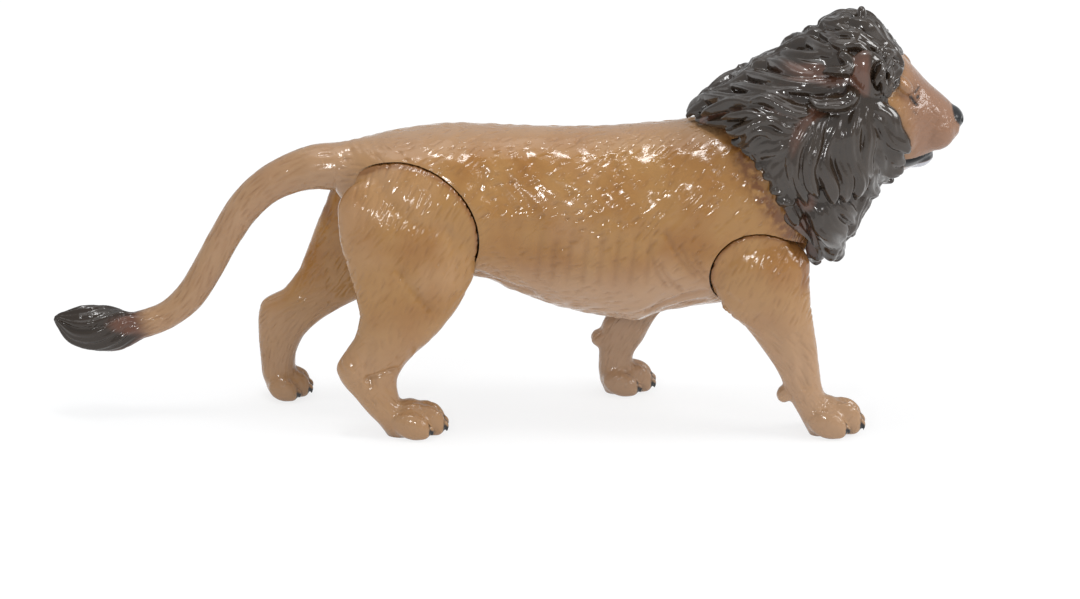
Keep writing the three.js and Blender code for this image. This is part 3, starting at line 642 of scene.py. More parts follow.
# Creases and mounds per leg, as ((x, z) line, width, depth) and (place, reach, height)
LEG_CREASES = {
    "right_hind": [
        ([(-36, 62), (-32, 56), (-26, 48)], 1.5, 0.9), ([(-46, 35), (-46.5, 28), (-45.5, 22)], 1.5, 0.8),
        ([(-47, 22.5), (-42, 24.5), (-37.5, 25.5)], 0.9, 0.9), ([(-20, 76), (-17, 66), (-18, 58)], 1.4, 0.5),
    ],
    "left_hind": [
        ([(-70, 40), (-73, 33), (-72, 26)], 1.5, 0.7), ([(-60, 54), (-54, 48), (-48, 44)], 1.4, 0.5),
    ],
    "right_fore": [
        ([(80, 46), (86, 41), (89, 34)], 1.8, 0.6), ([(95, 38), (97, 28), (98, 20)], 1.6, 0.5),
        ([(72, 52), (77, 49), (82, 50)], 1.5, 0.5),
    ],
    "left_fore": [
        ([(36, 32), (37, 25), (36.5, 18)], 1.2, 0.5), ([(41, 30), (42, 22)], 1.2, 0.4),
    ],
}
# Painted shadow line where the hind leg's edge leaves its pocket, toward the tail
REAR_SEAM = [(-44, 92.5), (-49.5, 89.8), (-53.6, 86.4), (-56.6, 81)]
LEG_MOUNDS = {
    "right_hind": [((-36, 78), (14, 9), 0.9), ((-45, 62), (7, 10), 0.7), ((-22, 58), (6, 9), 0.6),
                   ((-52.5, 25.5), (4, 4), 0.9)],
    "left_hind": [((-78, 31), (4, 5), 0.9), ((-38, 74), (12, 10), 0.8)],
    "right_fore": [((86, 62), (9, 7), 0.8), ((92, 40), (5, 9), 0.7), ((99, 17), (4, 4), 0.5)],
    "left_fore": [((40, 25), (3, 5), 0.7), ((80, 62), (9, 8), 0.7)],
}

# The near foreleg's rear edge, as (turn about the pivot in degrees, least distance from the middle plane)
ELBOW_CLEAR = [(-145, 23.8), (-131, 23.0), (-115, 20.4), (-99, 16.2), (-88, 13.2)]
ELBOW_LOW_TURN = -150
ELBOW_NEAR, ELBOW_FAR = 15.75, 18.8

# Heights where the fur begins above the paw and where the upper leg's fur takes over
FUR_START, UPPER_LEG = (4, 16), (34, 46)
LOWER_FUR_ROUND, LOWER_FUR_SIDE, LOWER_FUR_DRIFT, LOWER_FUR_SLANT = 9, 0.5, 0.3, 0.35
UPPER_FUR_LIE = (0.5, 0.87)
LEG_STROKE_DEEP, RIM_DEEP, RIM_SOFT, RIM_LOW = 0.4, 0.3, 0.8, -6
# Painted shadow along the rim of the leg's cap and along the hind leg's rear edge, and painted shade in the
# leg's fur strokes
RIM_SHADE, RIM_SHADE_WIDE, RIM_SHADE_LOW, REAR_SEAM_WIDE = 1.2, 1.1, (-8, 0), 0.55
LEG_STROKE_SHADE = 0.6 * STROKE_SHADE
# Height below which the pale dusty paint, with its painted bounce light, is at full share
DUST_AND_SHEEN_LOW = 24


def limb(spec):
    rows = np.array(spec["rows"], float)
    heights = np.linspace(rows[-1, 0], rows[0, 0], LIMB_RINGS)
    back, front, inner, outer = [curve(rows[:, [0, k]])(heights)[:, None] for k in range(1, 5)]
    across, along = superellipse(round_turn(LIMB_AROUND, 0.5))
    x = (front + back) / 2 + along * (front - back) / 2
    y = spec["side"] * ((outer + inner) / 2 + across * (outer - inner) / 2)
    return loft(np.stack([x, y, np.broadcast_to(heights[:, None], x.shape)], axis=-1))


def toe_place(offset, long):
    """How far a toe ends behind the longest, and its share of the paw's height."""
    return (OUTER_TOE_BACK * long, OUTER_TOE_LOW) if abs(offset) > OUTER_TOE else (0.0, 1.0)


def paw(spec):
    """Heel, instep and four toes with knuckles, in shares of the paw's length and height."""
    heel, toes, high = spec["paw"]["heel"], spec["paw"]["toes"], spec["paw"]["high"]
    middle = spec["side"] * spec["paw"]["y"]
    long = toes - heel
    bodies = [
        ellipsoid((heel + 0.42 * long, middle, GROUND + 0.44 * high), (0.44 * long, 6.6, 0.5 * high)),
        ellipsoid((heel + 0.34 * long, middle, GROUND + 0.6 * high), (0.3 * long, 5.6, 0.52 * high), 0.5),
    ]
    for offset in TOE_OFFSETS:
        back, share = toe_place(offset, long)
        fan = TOE_FAN * offset
        knuckle = (toes - back - 0.36 * long, middle + offset, GROUND + 0.5 * share * high)
        bodies.append(ellipsoid(knuckle, (0.36 * long, 2.75, 0.5 * share * high), 0.3, fan))
        tip = (toes - back - 0.17 * long, middle + TIP_FAN * offset, GROUND + 0.32 * share * high)
        bodies.append(ellipsoid(tip, (0.17 * long, 2.5, 0.32 * share * high), 0.15, fan))
    return bodies


def claw_places(spec):
    """Root and tip of each painted claw."""
    heel, toes, high = spec["paw"]["heel"], spec["paw"]["toes"], spec["paw"]["high"]
    places = []
    for offset in TOE_OFFSETS:
        back, share = toe_place(offset, toes - heel)
        y = spec["side"] * spec["paw"]["y"] + TIP_FAN * offset
        root = np.array([toes - back - 1.6, y, GROUND + 0.46 * share * high])
        tip = np.array([toes - back + 0.35, y, GROUND + 0.14 * high])
        places.append((root, tip))
    return places


def claw(root, tip):
    """A curved, pointed cone."""
    angles = round_turn(CLAW_SIDES)[:, None]
    ahead = (tip - root) / np.linalg.norm(tip - root)
    beside = np.array([0.0, 1.0, 0.0])
    out = np.cross(ahead, beside)
    arch = CLAW_ARCH * out * np.sign(out[0] + 1e-9)
    rings = []
    for t in np.linspace(0, 1, CLAW_RINGS):
        radius = CLAW_RADIUS * (1 - t) ** 0.7 + CLAW_POINT
        middle = root + (tip - root) * t + math.sin(math.pi * t) * arch
        rings.append(middle + radius * (np.cos(angles) * beside + np.sin(angles) * out))
    return loft(np.array(rings))


def near_segment(points, a, b):
    run = b - a
    t = np.clip(((points - a) @ run) / (run @ run), 0, 1)
    return np.linalg.norm(points - a - t[:, None] * run, axis=1)


def leg_cap(pivot, side):
    """The round top of a leg, flush with the body."""
    disc = bar_across(pivot, pivot["radius"], side * LEG_INNER, side * FAR_OUT)
    return cut(torso_form(), disc, "INTERSECT")


def leg_piece(name):
    """One moulded leg: round cap flush with the body, limb, paw and claws in one skin."""
    spec = LEGS[name]
    pivot, side = spec["pivot"], spec["side"]
    bodies = [limb(spec), *paw(spec)]
    if "pad" in spec:
        x, z = spec["pad"]
        bodies.append(ellipsoid((x, side * spec["paw"]["y"], z), PAD_SIZE))
    piece = merged(name + "_skin", bodies)
    joined(piece, leg_cap(pivot, side))
    remesh(piece, LEG_DRAFT_VOXEL)
    relax_piece(piece, *LEG_RELAX)
    joined(piece, merged("claws", [claw(*place) for place in claw_places(spec)]))
    joined(piece, leg_cap(pivot, side))
    if name == "right_fore":
        clear_elbow(piece, side)
    remesh(piece, LEG_VOXEL)
    relax_piece(piece, *LEG_LAST_RELAX)
    trim_leg(piece, side)
    carve_leg(piece, name, spec)
    return piece


def clear_elbow(piece, side):
    """Lifts the edge that sticks out past the pocket over the flank, so the leg can swing back."""
    points = points_of(piece)
    x, z = points[:, 0] - SHOULDER["x"], points[:, 2] - SHOULDER["z"]
    off, turn = np.hypot(x, z), np.degrees(np.arctan2(z, x))
    turns, clear = np.array(ELBOW_CLEAR).T
    near = (off > ELBOW_NEAR) & (off < ELBOW_FAR) & (turn > ELBOW_LOW_TURN) & (turn < turns[-1])
    least = np.interp(turn, turns, clear)
    points[near, 1] = side * np.maximum(side * points[near, 1], least[near])
    set_points(piece, points)


def trim_leg(piece, side):
    """Sole at the floor, inner face of the upper leg clear of the pocket floor."""
    points = points_of(piece)
    points[:, 2] = np.maximum(points[:, 2], GROUND)
    above = points[:, 2] > UPPER_LEG[0]
    points[above, 1] = side * np.maximum(side * points[above, 1], LEG_INNER)
    set_points(piece, points)


def leg_fur(x, y, z, spec):
    """Depth of the strokes, which run down the lower leg and slant over the upper one."""
    rows = np.array(spec["rows"], float)
    pairs = [np.stack([rows[:, 0], (rows[:, k] + rows[:, k + 1]) / 2], axis=1) for k in (1, 3)]
    middle, centre = [curve(pair)(z) for pair in pairs]
    turn = np.arctan2(spec["side"] * y - centre, x - middle)
    across = turn * LOWER_FUR_ROUND + (x - middle) * LOWER_FUR_SIDE - LOWER_FUR_DRIFT * z
    low = fur_strokes(z + LOWER_FUR_SLANT * (x - middle), across, LOWER_LEG_FUR)
    a, b = UPPER_FUR_LIE
    high = fur_strokes(a * x + b * z, b * x - a * z, UPPER_LEG_FUR)
    upper = rise(*UPPER_LEG, z)
    return (low * (1 - upper) + high * upper) * rise(*FUR_START, z)


def claw_paint(points, spec):
    """One on the claws, nothing elsewhere."""
    x, y, _ = points.T
    form = spec["paw"]
    near = np.min([near_segment(points, root, tip) for root, tip in claw_places(spec)], axis=0)
    is_outer = np.abs(spec["side"] * y - form["y"]) > OUTER_TOE
    toe_end = form["toes"] - OUTER_TOE_BACK * (form["toes"] - form["heel"]) * is_outer
    return fall(*CLAW_PAINT, near) * rise(*CLAW_PAINT_BACK, x - toe_end)


def carve_leg(piece, name, spec):
    """Muscles, creases and fur, and their paint, with painted shade in the fur strokes, along the cap's rim
    and along the hind leg's rear edge.
    """
    pivot, side = spec["pivot"], spec["side"]
    points, normal = points_of(piece), normals_of(piece)
    x, y, z = points.T
    outer = rise(-0.2, 0.5, side * normal[:, 1])
    height = mounds(x, z, LEG_MOUNDS[name])
    for line, width, depth in LEG_CREASES[name]:
        height -= depth * crease(x, z, line, width)
    height *= outer
    fur, painted = leg_fur(x, y, z, spec), claw_paint(points, spec)
    rim = np.clip(pivot["radius"] - np.hypot(x - pivot["x"], z - pivot["z"]), 0, None)
    height -= LEG_STROKE_DEEP * fur * (1 - painted)
    height -= RIM_DEEP * bell(rim, RIM_SOFT) * outer * (z > pivot["z"] + RIM_LOW)
    set_points(piece, points + normal * height[:, None])
    # Painted shadow where the seam's gap would be dark, round the cap and along the hind leg's rear edge
    seam = bell(rim, RIM_SHADE_WIDE) * rise(*RIM_SHADE_LOW, z - pivot["z"])
    if pivot is HIP:
        rear_seam = crease(x, z, REAR_SEAM, REAR_SEAM_WIDE) * rise(-0.6, 0, side * normal[:, 1])
        seam = np.maximum(seam, rear_seam)
    store(piece, "black", painted)
    store(piece, "groove_shade", np.clip(LEG_STROKE_SHADE * fur + RIM_SHADE * seam, 0, 1))
    # Pale dusty paint on the lower leg, partly painted sheen and bounce light
    store(piece, "dust_and_sheen", spec["dust_and_sheen"] * fall(DUST_AND_SHEEN_LOW, spec["dust_and_sheen_top"], z))


# Tail

TAIL_STATIONS, TAIL_AROUND = 420, 90
TUFT_START, TUFT_FULL = 0.62, 0.7
TUFT_FLAT = 0.16
TAIL_BLEND = 14.0
TAIL_STROKE_DEEP, TAIL_FUR_ROUND, TAIL_FUR_DRIFT = 0.4, 6.2, 0.12
TUFT_TWIST, TUFT_LOCKS, TUFT_STRANDS, TUFT_SINK = 0.9, 0.75, 0.35, 0.55
TUFT_RED, TUFT_DARK, TUFT_WAVE = (0.6, 0.66), (0.665, 0.73), 0.05
# Share of pale dusty paint on the tail, which partly stands in for painted sheen
TAIL_DUST_AND_SHEEN = 0.6


def tail_height(share, run, radius, angles, tuft):
    """Height of the fur strokes and of the tuft's twisted locks."""
    strokes = fur_strokes(run + 0 * angles, angles * TAIL_FUR_ROUND + TAIL_FUR_DRIFT * run, TAIL_FUR)
    twist = angles + TUFT_TWIST * np.sin(share * 9) * tuft
    locks = TUFT_LOCKS * np.abs(np.sin(twist * 4 + 3 * share))
    locks = locks + TUFT_STRANDS * np.sin(twist * 13 + 9 * share)
    fur = TAIL_STROKE_DEEP * strokes * (1 - tuft) * rise(0, 2, run)
    return tuft * (locks - TUFT_SINK) * rise(0.5, 5, radius) - fur


def tail_piece():
    """The tail, which grows out of the torso's rear end."""
    path, ahead = smooth_path([(x, 0, z) for x, z, _ in TAIL], TAIL_STATIONS)
    share = np.linspace(0, 1, TAIL_STATIONS)[:, None]
    radius = curve([(k / (len(TAIL) - 1), r) for k, (_, _, r) in enumerate(TAIL)])(share)
    run = run_along(path)[:, None]
    angles = round_turn(TAIL_AROUND)[None, :]
    tuft = rise(TUFT_START, TUFT_FULL, share)
    height = tail_height(share, run, radius, angles, tuft)
    beside = np.array([0.0, 1.0, 0.0])
    out = np.cross(ahead, beside)[:, None, :]
    flat = (1 - TUFT_FLAT * tuft)[..., None]
    ring = np.cos(angles)[..., None] * beside * flat + np.sin(angles)[..., None] * out
    rings = path[:, None, :] + (radius + height)[..., None] * ring
    body_end = section_rings(np.array([TORSO_REAR]), -angles[0], TORSO_LINES)[0]
    rings += fall(0, TAIL_BLEND, run)[..., None] * (body_end - rings[0])
    piece = solid("tail_skin", *loft(rings))
    store(piece, "dark", rise(*TUFT_DARK, share + TUFT_WAVE * np.sin(angles * 3)))
    store(piece, "red", rise(*TUFT_RED, share + 0 * angles))
    # Painted shade where the tuft's locks and the fur strokes sink
    store(piece, "groove_shade", np.clip(-height, 0, 1))
    store(piece, "dust_and_sheen", np.full(height.shape, TAIL_DUST_AND_SHEEN))
    return piece


# Head

CROWN = [
    (101, 126), (115, 130), (124, 130.4), (129, 127.4), (133, 123.2), (138, 117.6), (145, 111.2),
    (148.5, 107.4),
]
JAW = [(101, 92), (115, 88), (127, 87.5), (134, 90), (140, 94.5), (146, 98), (148.5, 101)]
CHEEK = [(101, 17), (115, 19), (127, 17), (132, 14.5), (138, 11), (144, 8.6), (148.5, 5)]
HEAD_LINES = curve(CROWN), curve(JAW), curve(CHEEK)
HEAD_STATIONS, HEAD_AROUND = 120, 140
HEAD_DRAFT_VOXEL, HEAD_VOXEL = 0.45, 0.33
HEAD_RELAX, HEAD_LAST_RELAX = (8, 0.5), (3, 0.4)

# Bodies of the face on one side, as (place, size, tilt)
FACE_PAIRS = [
    ((140.2, 5.2, 103.0), (7.0, 5.6, 6.8), 0.2), ((129.9, 12.4, 121.2), (4.6, 3.2, 2.3), 0.8),
    ((128.6, 12.2, 105), (6.0, 4.2, 8.5), 0.0), ((140.2, 5.4, 109.2), (8.0, 4.2, 3.3), 0.92),
]
NOSE = {"at": (146.8, 0.0, 106.4), "size": (3.9, 5.0, 2.8), "tilt": 0.9}
FACE_MIDDLE = [
    ((141.8, 0, 102.8), (5.2, 5.0, 5.8), 0.0), (NOSE["at"], NOSE["size"], NOSE["tilt"]),
    ((134.6, 0, 92.2), (5.6, 5.4, 3.5), -0.15), ((131.5, 0, 121), (5.0, 5.5, 2.6), 0.75),
]
LIP_LINE = [(127, 95.6), (132.5, 94.4), (136, 94.7), (140.6, 95.4), (144, 97)]
LIP_END = 140.6
LIP_START, LIPS_START, CHIN_START = (127, 130), (128, 131), (129, 132)
LIP_FRONT, LIP_LOW, LIP_HIGH = (LIP_END - 0.3, LIP_END + 0.5), (-3.4, -2.6), (-0.1, 0.35)
LIP_WIDE, SPLIT_WIDE, SPLIT_FRONT, SPLIT_LOW, SPLIT_TOP = 0.5, 0.5, (143, 146), (95.5, 97), 104
NOSTRIL, NOSTRIL_SIZE = (149.2, 2.0, 105.6), (1.0, 0.8, 0.7)
NOSE_PAINT = (1.02, 1.16)
WRINKLES_AT, WRINKLES_REACH, WRINKLE_LIE, WRINKLE_SIDE = (139.5, 109), (8, 8.5), (0.75, 0.66), (3, 6)
FACE_FUR_SLANT, FACE_FUR_STRETCH, FACE_FUR_ROUND, FACE_MIDDLE_HIGH = 0.35, 1.05, 13, 103

# The eye on one side: ball, pupil, and as (line, width) the upper lid, the lower lid and a small mark below
FACE_SIDE = (5.5, 7.5)
EYE, EYE_RADIUS, SOCKET_RADIUS = (133.9, 116.5), 1.7, 3.2
PUPIL, PUPIL_EDGE = (134.5, 116.4), (0.4, 0.8)
EYE_LINES = [
    ([(135.3, 119.0), (134.5, 118.4), (133.7, 117.9)], 0.4),
    ([(132.6, 116.8), (133.3, 115.6), (134.6, 114.2)], 0.5),
    ([(133.3, 112.4), (133.9, 111.6)], 0.5),
]
# Painted shade under the brow, as (line, width)
BROW_SHADE, BROW_WIDE = [(127.8, 118.6), (131.2, 117.2)], 1.2
PINK_FACE = (124, 136)


def head_rings(grow=0.0):
    places = np.linspace(CROWN[0][0], CROWN[-1][0], HEAD_STATIONS)
    return section_rings(places, round_turn(HEAD_AROUND, 0.5), HEAD_LINES, grow)


def face_bodies():
    bodies = [ellipsoid(at, size, tilt) for at, size, tilt in FACE_MIDDLE]
    for (x, y, z), size, tilt in FACE_PAIRS:
        bodies += [ellipsoid((x, side * y, z), size, tilt) for side in (-1, 1)]
    return bodies


def head_piece():
    piece = merged("head_skin", [loft(head_rings()), *face_bodies()])
    remesh(piece, HEAD_DRAFT_VOXEL)
    relax_piece(piece, *HEAD_RELAX)
    remesh(piece, HEAD_VOXEL)
    relax_piece(piece, *HEAD_LAST_RELAX)
    carve_face(piece)
    return piece


def egg_distance(points, body):
    """One on the skin of an egg-like body, less inside it."""
    x, y, z = (points - np.array(body["at"])).T
    cosine, sine = math.cos(body["tilt"]), math.sin(body["tilt"])
    along, up = x * cosine - z * sine, x * sine + z * cosine
    return np.linalg.norm(np.stack([along, y, up], axis=1) / np.array(body["size"]), axis=1)


def eye_marks(x, z, at_side):
    """Socket, ball, pupil, both lids and the mark below, each from 0 to 1."""
    off = np.hypot(x - EYE[0], z - EYE[1])
    ball = np.sqrt(np.clip(1 - (off / EYE_RADIUS) ** 2, 0, 1))
    pupil = fall(*PUPIL_EDGE, np.hypot(x - PUPIL[0], z - PUPIL[1]))
    lines = [crease(x, z, line, width) for line, width in EYE_LINES]
    return [mark * at_side for mark in (bell(off, SOCKET_RADIUS), ball, pupil, *lines)]


def mouth_marks(x, z, aside):
    """Line between the lips, split under the nose, dark lips and pale chin, each from 0 to 1."""
    above = z - curve(LIP_LINE)(x)
    front = fall(*LIP_FRONT, x)
    line = bell(above, LIP_WIDE) * rise(*LIP_START, x) * front
    split = bell(aside, SPLIT_WIDE) * rise(*SPLIT_FRONT, x) * rise(*SPLIT_LOW, z) * (z < SPLIT_TOP)
    lips = rise(*LIP_LOW, above) * fall(*LIP_HIGH, above) * rise(*LIPS_START, x) * front
    pale = fall(*LIP_LOW, above) * rise(*CHIN_START, x) * (x < LIP_END + 1)
    return line, split, lips, pale


def face_fur(x, z, aside):
    """Depth of the fine fur, and of the wrinkles beside the bridge of the nose."""
    swirl = np.arctan2(aside, z - FACE_MIDDLE_HIGH) * FACE_FUR_ROUND
    strokes = fur_strokes((x - FACE_FUR_SLANT * z) * FACE_FUR_STRETCH, swirl, FACE_FUR)
    a, b = WRINKLE_LIE
    along, across = a * x - b * z, b * x + a * z
    fine, folds = fur_strokes(along, across, FACE_WRINKLES), fur_strokes(across, along, FACE_FOLDS)
    wrinkles = np.maximum(0.7 * fine, folds) * mound(x, z, WRINKLES_AT, WRINKLES_REACH)
    return strokes, wrinkles * rise(*WRINKLE_SIDE, aside)


def carve_face(piece):
    """Eyes, lips, nostrils and fur, with their paint and with painted shade under the brow, in the wrinkles
    and in the eye socket.
    """
    points, normal = points_of(piece), normals_of(piece)
    x, y, z = points.T
    aside = np.abs(y)
    at_side = rise(*FACE_SIDE, aside)
    socket, ball, pupil, upper, lower, tear = eye_marks(x, z, at_side)
    mouth, split, lips, pale = mouth_marks(x, z, aside)
    strokes, wrinkles = face_fur(x, z, aside)
    from_nostril = (np.stack([x, aside, z], axis=1) - NOSTRIL) / NOSTRIL_SIZE
    nostril = np.exp(-(from_nostril ** 2).sum(axis=1))
    nose = fall(*NOSE_PAINT, egg_distance(points, NOSE))
    black = np.maximum.reduce([nose, lips, 0.85 * pupil, 0.8 * upper, 0.95 * lower, 0.3 * tear])
    bare = (1 - np.clip(black + socket, 0, 1)) * (1 - pale)
    height = -(0.1 * strokes + 0.32 * wrinkles) * bare
    height += 1.0 * ball - 1.0 * socket + 0.4 * upper - 0.3 * lower - 0.25 * tear
    height -= 1.2 * mouth + 0.7 * split + 1.1 * nostril
    set_points(piece, points + normal * height[:, None])
    # Painted shade under the brow, in the wrinkles and in the eye socket, mixed in with the red-brown
    # overspray paint
    shade = 0.7 * crease(x, z, BROW_SHADE, BROW_WIDE) + 0.3 * wrinkles + 0.4 * socket
    store(piece, "black", np.clip(black, 0, 1))
    store(piece, "pale", np.clip(pale, 0, 1))
    store(piece, "pink", rise(*PINK_FACE, x))
    store(piece, "overspray_and_shade", np.clip(shade, 0, 0.8) * at_side)


# Mane

MANE_TOP = [
    (60, 107), (66, 110.5), (74, 115.4), (88, 125.2), (103, 135.2), (113, 141), (119, 138.2), (125, 131.8),
]
MANE_BOTTOM = [
    (60, 103.5), (72, 103), (80, 98), (86, 90), (93, 77), (100, 63), (104, 57), (109, 64),
    (114, 73), (120, 83), (125, 87.5),
]
MANE_SIDE = [
    (60, 3), (66, 12), (74, 20), (84, 25.5), (93, 27.5), (104, 26.5), (116, 24.5), (121, 22.5), (125, 19),
]
MANE_LINES = curve(MANE_TOP), curve(MANE_BOTTOM), curve(MANE_SIDE)
MANE_STATIONS, MANE_AROUND = 120, 140
CORE_SINK, CORE_START = 1.7, 1.5
CORE_LEAST_WIDE, CORE_LEAST_HALF = 0.8, 0.6
MANE_VOXEL, MANE_FACES = 0.34, 194000
MANE_RELAX, VALLEY_RELAX = (3, 0.45), (30, 0.5)
HEAD_CLEAR, SWEEP_CLEAR = 0.2, 0.4

# The torso under the locks and the room cut for it, as (growth, stations, points around)
TORSO_UNDER_LOCKS, TORSO_ROOM = (0.4, 150, 120), (0.3, 60, 72)

# Swing of the forelegs, ears and the nib on the crown
LEG_SWEEP = 20.4
EAR = {"at": (118.2, 18.0, 127.0), "size": (6.2, 4.2, 8.4), "tilt": -0.25}
EAR_HOLLOW = {"at": (123.0, 22.0, 127.0), "size": (4.3, 4.3, 6.3), "tilt": -0.25}
EAR_AROUND, EAR_ALONG = 40, 30
EAR_BACK_REACH, EAR_BACK_EDGE = (6.4, 5.0, 8.6), (0.85, 1.05)
NIB_AT, NIB_SIZE = (116.0, 0.0, 141.0), (1.8, 1.7, 3.6)

# Locks as (half width, height, line); each line runs from root to tip in pixels of the photograph's frame
NECK_LOCKS = [
    (2.6, 3.0, [(852, 30), (836, 29), (820, 29), (806, 28), (796, 33)]),
    (2.8, 3.2, [(855, 40), (835, 40), (815, 37), (797, 36), (784, 38), (777, 47)]),
    (2.4, 2.6, [(848, 48), (828, 48), (810, 44), (796, 46), (784, 52)]),
    (2.4, 2.8, [(842, 55), (822, 54), (803, 56), (788, 59), (774, 60)]),
    (2.8, 3.2, [(830, 62), (806, 63), (786, 59), (768, 56), (756, 58), (750, 65)]),
    (3.4, 2.8, [(818, 72), (796, 72), (780, 67), (764, 65), (750, 70)]),
    (2.6, 3.4, [(836, 50), (847, 58), (849, 67), (840, 73), (824, 75)]),
    (2.6, 3.0, [(800, 80), (774, 79), (754, 72), (742, 67), (733, 73)]),
    (2.8, 3.2, [(842, 79), (820, 82), (798, 84), (776, 84), (752, 80), (730, 78), (718, 86)]),
    (2.6, 2.6, [(836, 87), (812, 91), (790, 90), (766, 91), (742, 91), (722, 93)]),
    (2.8, 3.2, [(786, 97), (760, 94), (736, 91), (714, 92), (702, 95), (696, 103)]),
    (3.2, 3.6, [(852, 84), (849, 96), (840, 104), (824, 105), (808, 98)]),
    (2.8, 3.0, [(800, 101), (776, 100), (750, 101), (726, 103), (706, 106), (688, 114)]),
    (3.0, 3.2, [(818, 108), (802, 110), (784, 109), (766, 104), (750, 106)]),
    (2.6, 2.8, [(796, 115), (774, 112), (754, 108), (736, 108), (718, 113), (704, 119)]),
    (2.4, 2.8, [(812, 117), (794, 121), (776, 117), (758, 114), (740, 119), (724, 121)]),
    (2.4, 2.6, [(804, 125), (788, 128), (772, 122), (756, 122), (742, 128), (731, 134)]),
    (2.2, 2.4, [(800, 130), (780, 134), (760, 131), (745, 136), (737, 142)]),
]
FAN_LOCKS = [
    (3.2, 2.2, [(797, 131), (776, 139), (756, 144), (744, 149)]),
    (3.4, 2.2, [(795, 135), (776, 146), (760, 154), (750, 160)]),
    (3.4, 2.2, [(794, 138), (779, 153), (765, 164), (756, 170)]),
    (3.4, 2.2, [(793, 141), (781, 159), (771, 172), (763, 179)]),
    (3.6, 2.2, [(793, 145), (785, 166), (777, 184), (771, 194)]),
    (3.6, 2.4, [(794, 150), (789, 173), (783, 196), (780, 206)]),
    (3.6, 2.4, [(797, 165), (792, 190), (791, 210), (795, 223)]),
]
CHEEK_LOCKS = [
    (3.2, 2.8, [(818, 110), (806, 122), (797, 142), (795, 163), (800, 185), (808, 203)]),
    (3.4, 3.0, [(829, 110), (816, 130), (808, 152), (810, 175), (818, 196)]),
    (3.6, 3.0, [(840, 110), (829, 134), (823, 158), (827, 182), (832, 202)]),
    (3.4, 3.0, [(851, 108), (842, 134), (838, 158), (843, 180), (844, 200)]),
    (3.4, 2.8, [(861, 103), (856, 130), (853, 156), (857, 178), (853, 197)]),
    (3.0, 2.6, [(870, 103), (868, 128), (867, 152), (867, 176)]),
]
JAW_LOCKS = [
    (3.0, 2.0, [(876, 99), (885, 112), (896, 127), (908, 143)]),
    (3.2, 2.2, [(873, 110), (883, 124), (896, 139), (908, 150)]),
    (3.4, 2.2, [(871, 122), (881, 138), (893, 152), (904, 160)]),
    (3.6, 2.2, [(870, 136), (879, 151), (890, 163), (901, 169)]),
    (3.6, 2.4, [(869, 148), (876, 163), (883, 174), (887, 182)]),
    (3.4, 2.4, [(867, 160), (871, 174), (871, 187), (867, 199)]),
]
CHEST_LOCKS = [
    (3.2, 2.6, [(800, 190), (809, 205), (819, 217), (829, 227)]),
    (3.2, 2.6, [(788, 208), (797, 222), (806, 240), (812, 258)]),
    (3.4, 2.8, [(795, 198), (804, 216), (812, 236), (816, 254), (816, 266)]),
    (3.8, 3.0, [(806, 202), (819, 216), (829, 232), (834, 248), (827, 262)]),
    (3.4, 2.8, [(822, 200), (831, 214), (837, 226), (838, 234)]),
    (3.4, 2.8, [(838, 196), (845, 210), (847, 224), (842, 233)]),
    (3.4, 2.8, [(852, 190), (857, 204), (856, 218), (849, 230)]),
    (3.0, 2.6, [(861, 177), (866, 190), (866, 202), (863, 209)]),
]
CROWN_LOCKS = [
    (2.6, 2.2, [(904, 60), (892, 42), (876, 26), (860, 12)]),
    (2.6, 2.2, [(900, 63), (886, 46), (867, 32), (848, 22)]),
    (2.8, 2.2, [(886, 52), (872, 44), (856, 38), (838, 34)]),
    (2.6, 2.2, [(874, 52), (861, 48), (847, 45), (830, 43)]),
    (3.2, 2.6, [(860, 11), (845, 17), (831, 23), (819, 30)]),
    (3.0, 2.4, [(857, 22), (841, 25), (827, 30)]),
    (2.4, 1.8, [(905, 63), (897, 59), (887, 54), (875, 51)]),
    (2.2, 1.6, [(902, 69), (895, 65), (887, 61), (878, 58)]),
]
TRACED_LOCKS = [*NECK_LOCKS, *FAN_LOCKS, *CHEEK_LOCKS, *JAW_LOCKS, *CHEST_LOCKS, *CROWN_LOCKS]
RED_LOCKS = [NECK_LOCKS[5], NECK_LOCKS[8], NECK_LOCKS[14], CHEEK_LOCKS[0], CHEST_LOCKS[1], CHEST_LOCKS[2]]

# Locks down the middle of the chest, as (half width, height, line of x, y, z)
BREAST_LOCKS = [
    (4.0, 2.6, [(126, 0, 89), (121, 0, 82), (115, 0, 72)]),
    (3.8, 2.6, [(121, 5, 84), (115.5, 6.5, 74), (110, 6, 63)]),
    (3.8, 2.6, [(117, 0, 77), (111, 0, 66), (106, 0, 57.5)]),
    (3.6, 2.4, [(125, 6, 88), (121, 10, 80), (116.5, 11, 70)]),
    (3.6, 2.4, [(113, 11, 75), (108.5, 13, 65), (105, 12, 58)]),
    (3.4, 2.4, [(122, 12, 85), (117, 15, 77), (112, 15, 67)]),
]

# Hairs of the ear's opening, as (half width, height, line of x, y, z)
EAR_HAIRS = [
    (1.5, 1.1, [(121.6, 9.5, 133.4), (121.8, 15.5, 132.0), (121.2, 19.8, 129.0), (120.6, 20.8, 124.0)]),
    (1.4, 1.2, [(123.2, 9.0, 131.8), (123.4, 15.0, 130.4), (122.8, 19.4, 127.0), (122.0, 20.2, 121.5)]),
    (1.6, 1.0, [(124.8, 8.5, 130.2), (124.8, 14.4, 128.6), (124.0, 18.4, 125.6), (123.4, 19.4, 120.0)]),
    (1.4, 1.2, [(126.6, 8.0, 128.8), (126.0, 13.6, 127.4), (124.8, 17.4, 124.4), (123.6, 18.6, 119.2)]),
    (1.6, 1.0, [(128.4, 6.5, 127.6), (127.2, 12.4, 126.2), (125.2, 16.2, 123.6), (123.8, 17.8, 118.6)]),
    (1.4, 1.0, [(130.0, 5.0, 126.4), (128.2, 10.4, 125.0), (126.0, 14.6, 122.8), (124.4, 16.8, 118.6)]),
]
EAR_HAIR_OUT = (0.1, 0.95, 0.15)

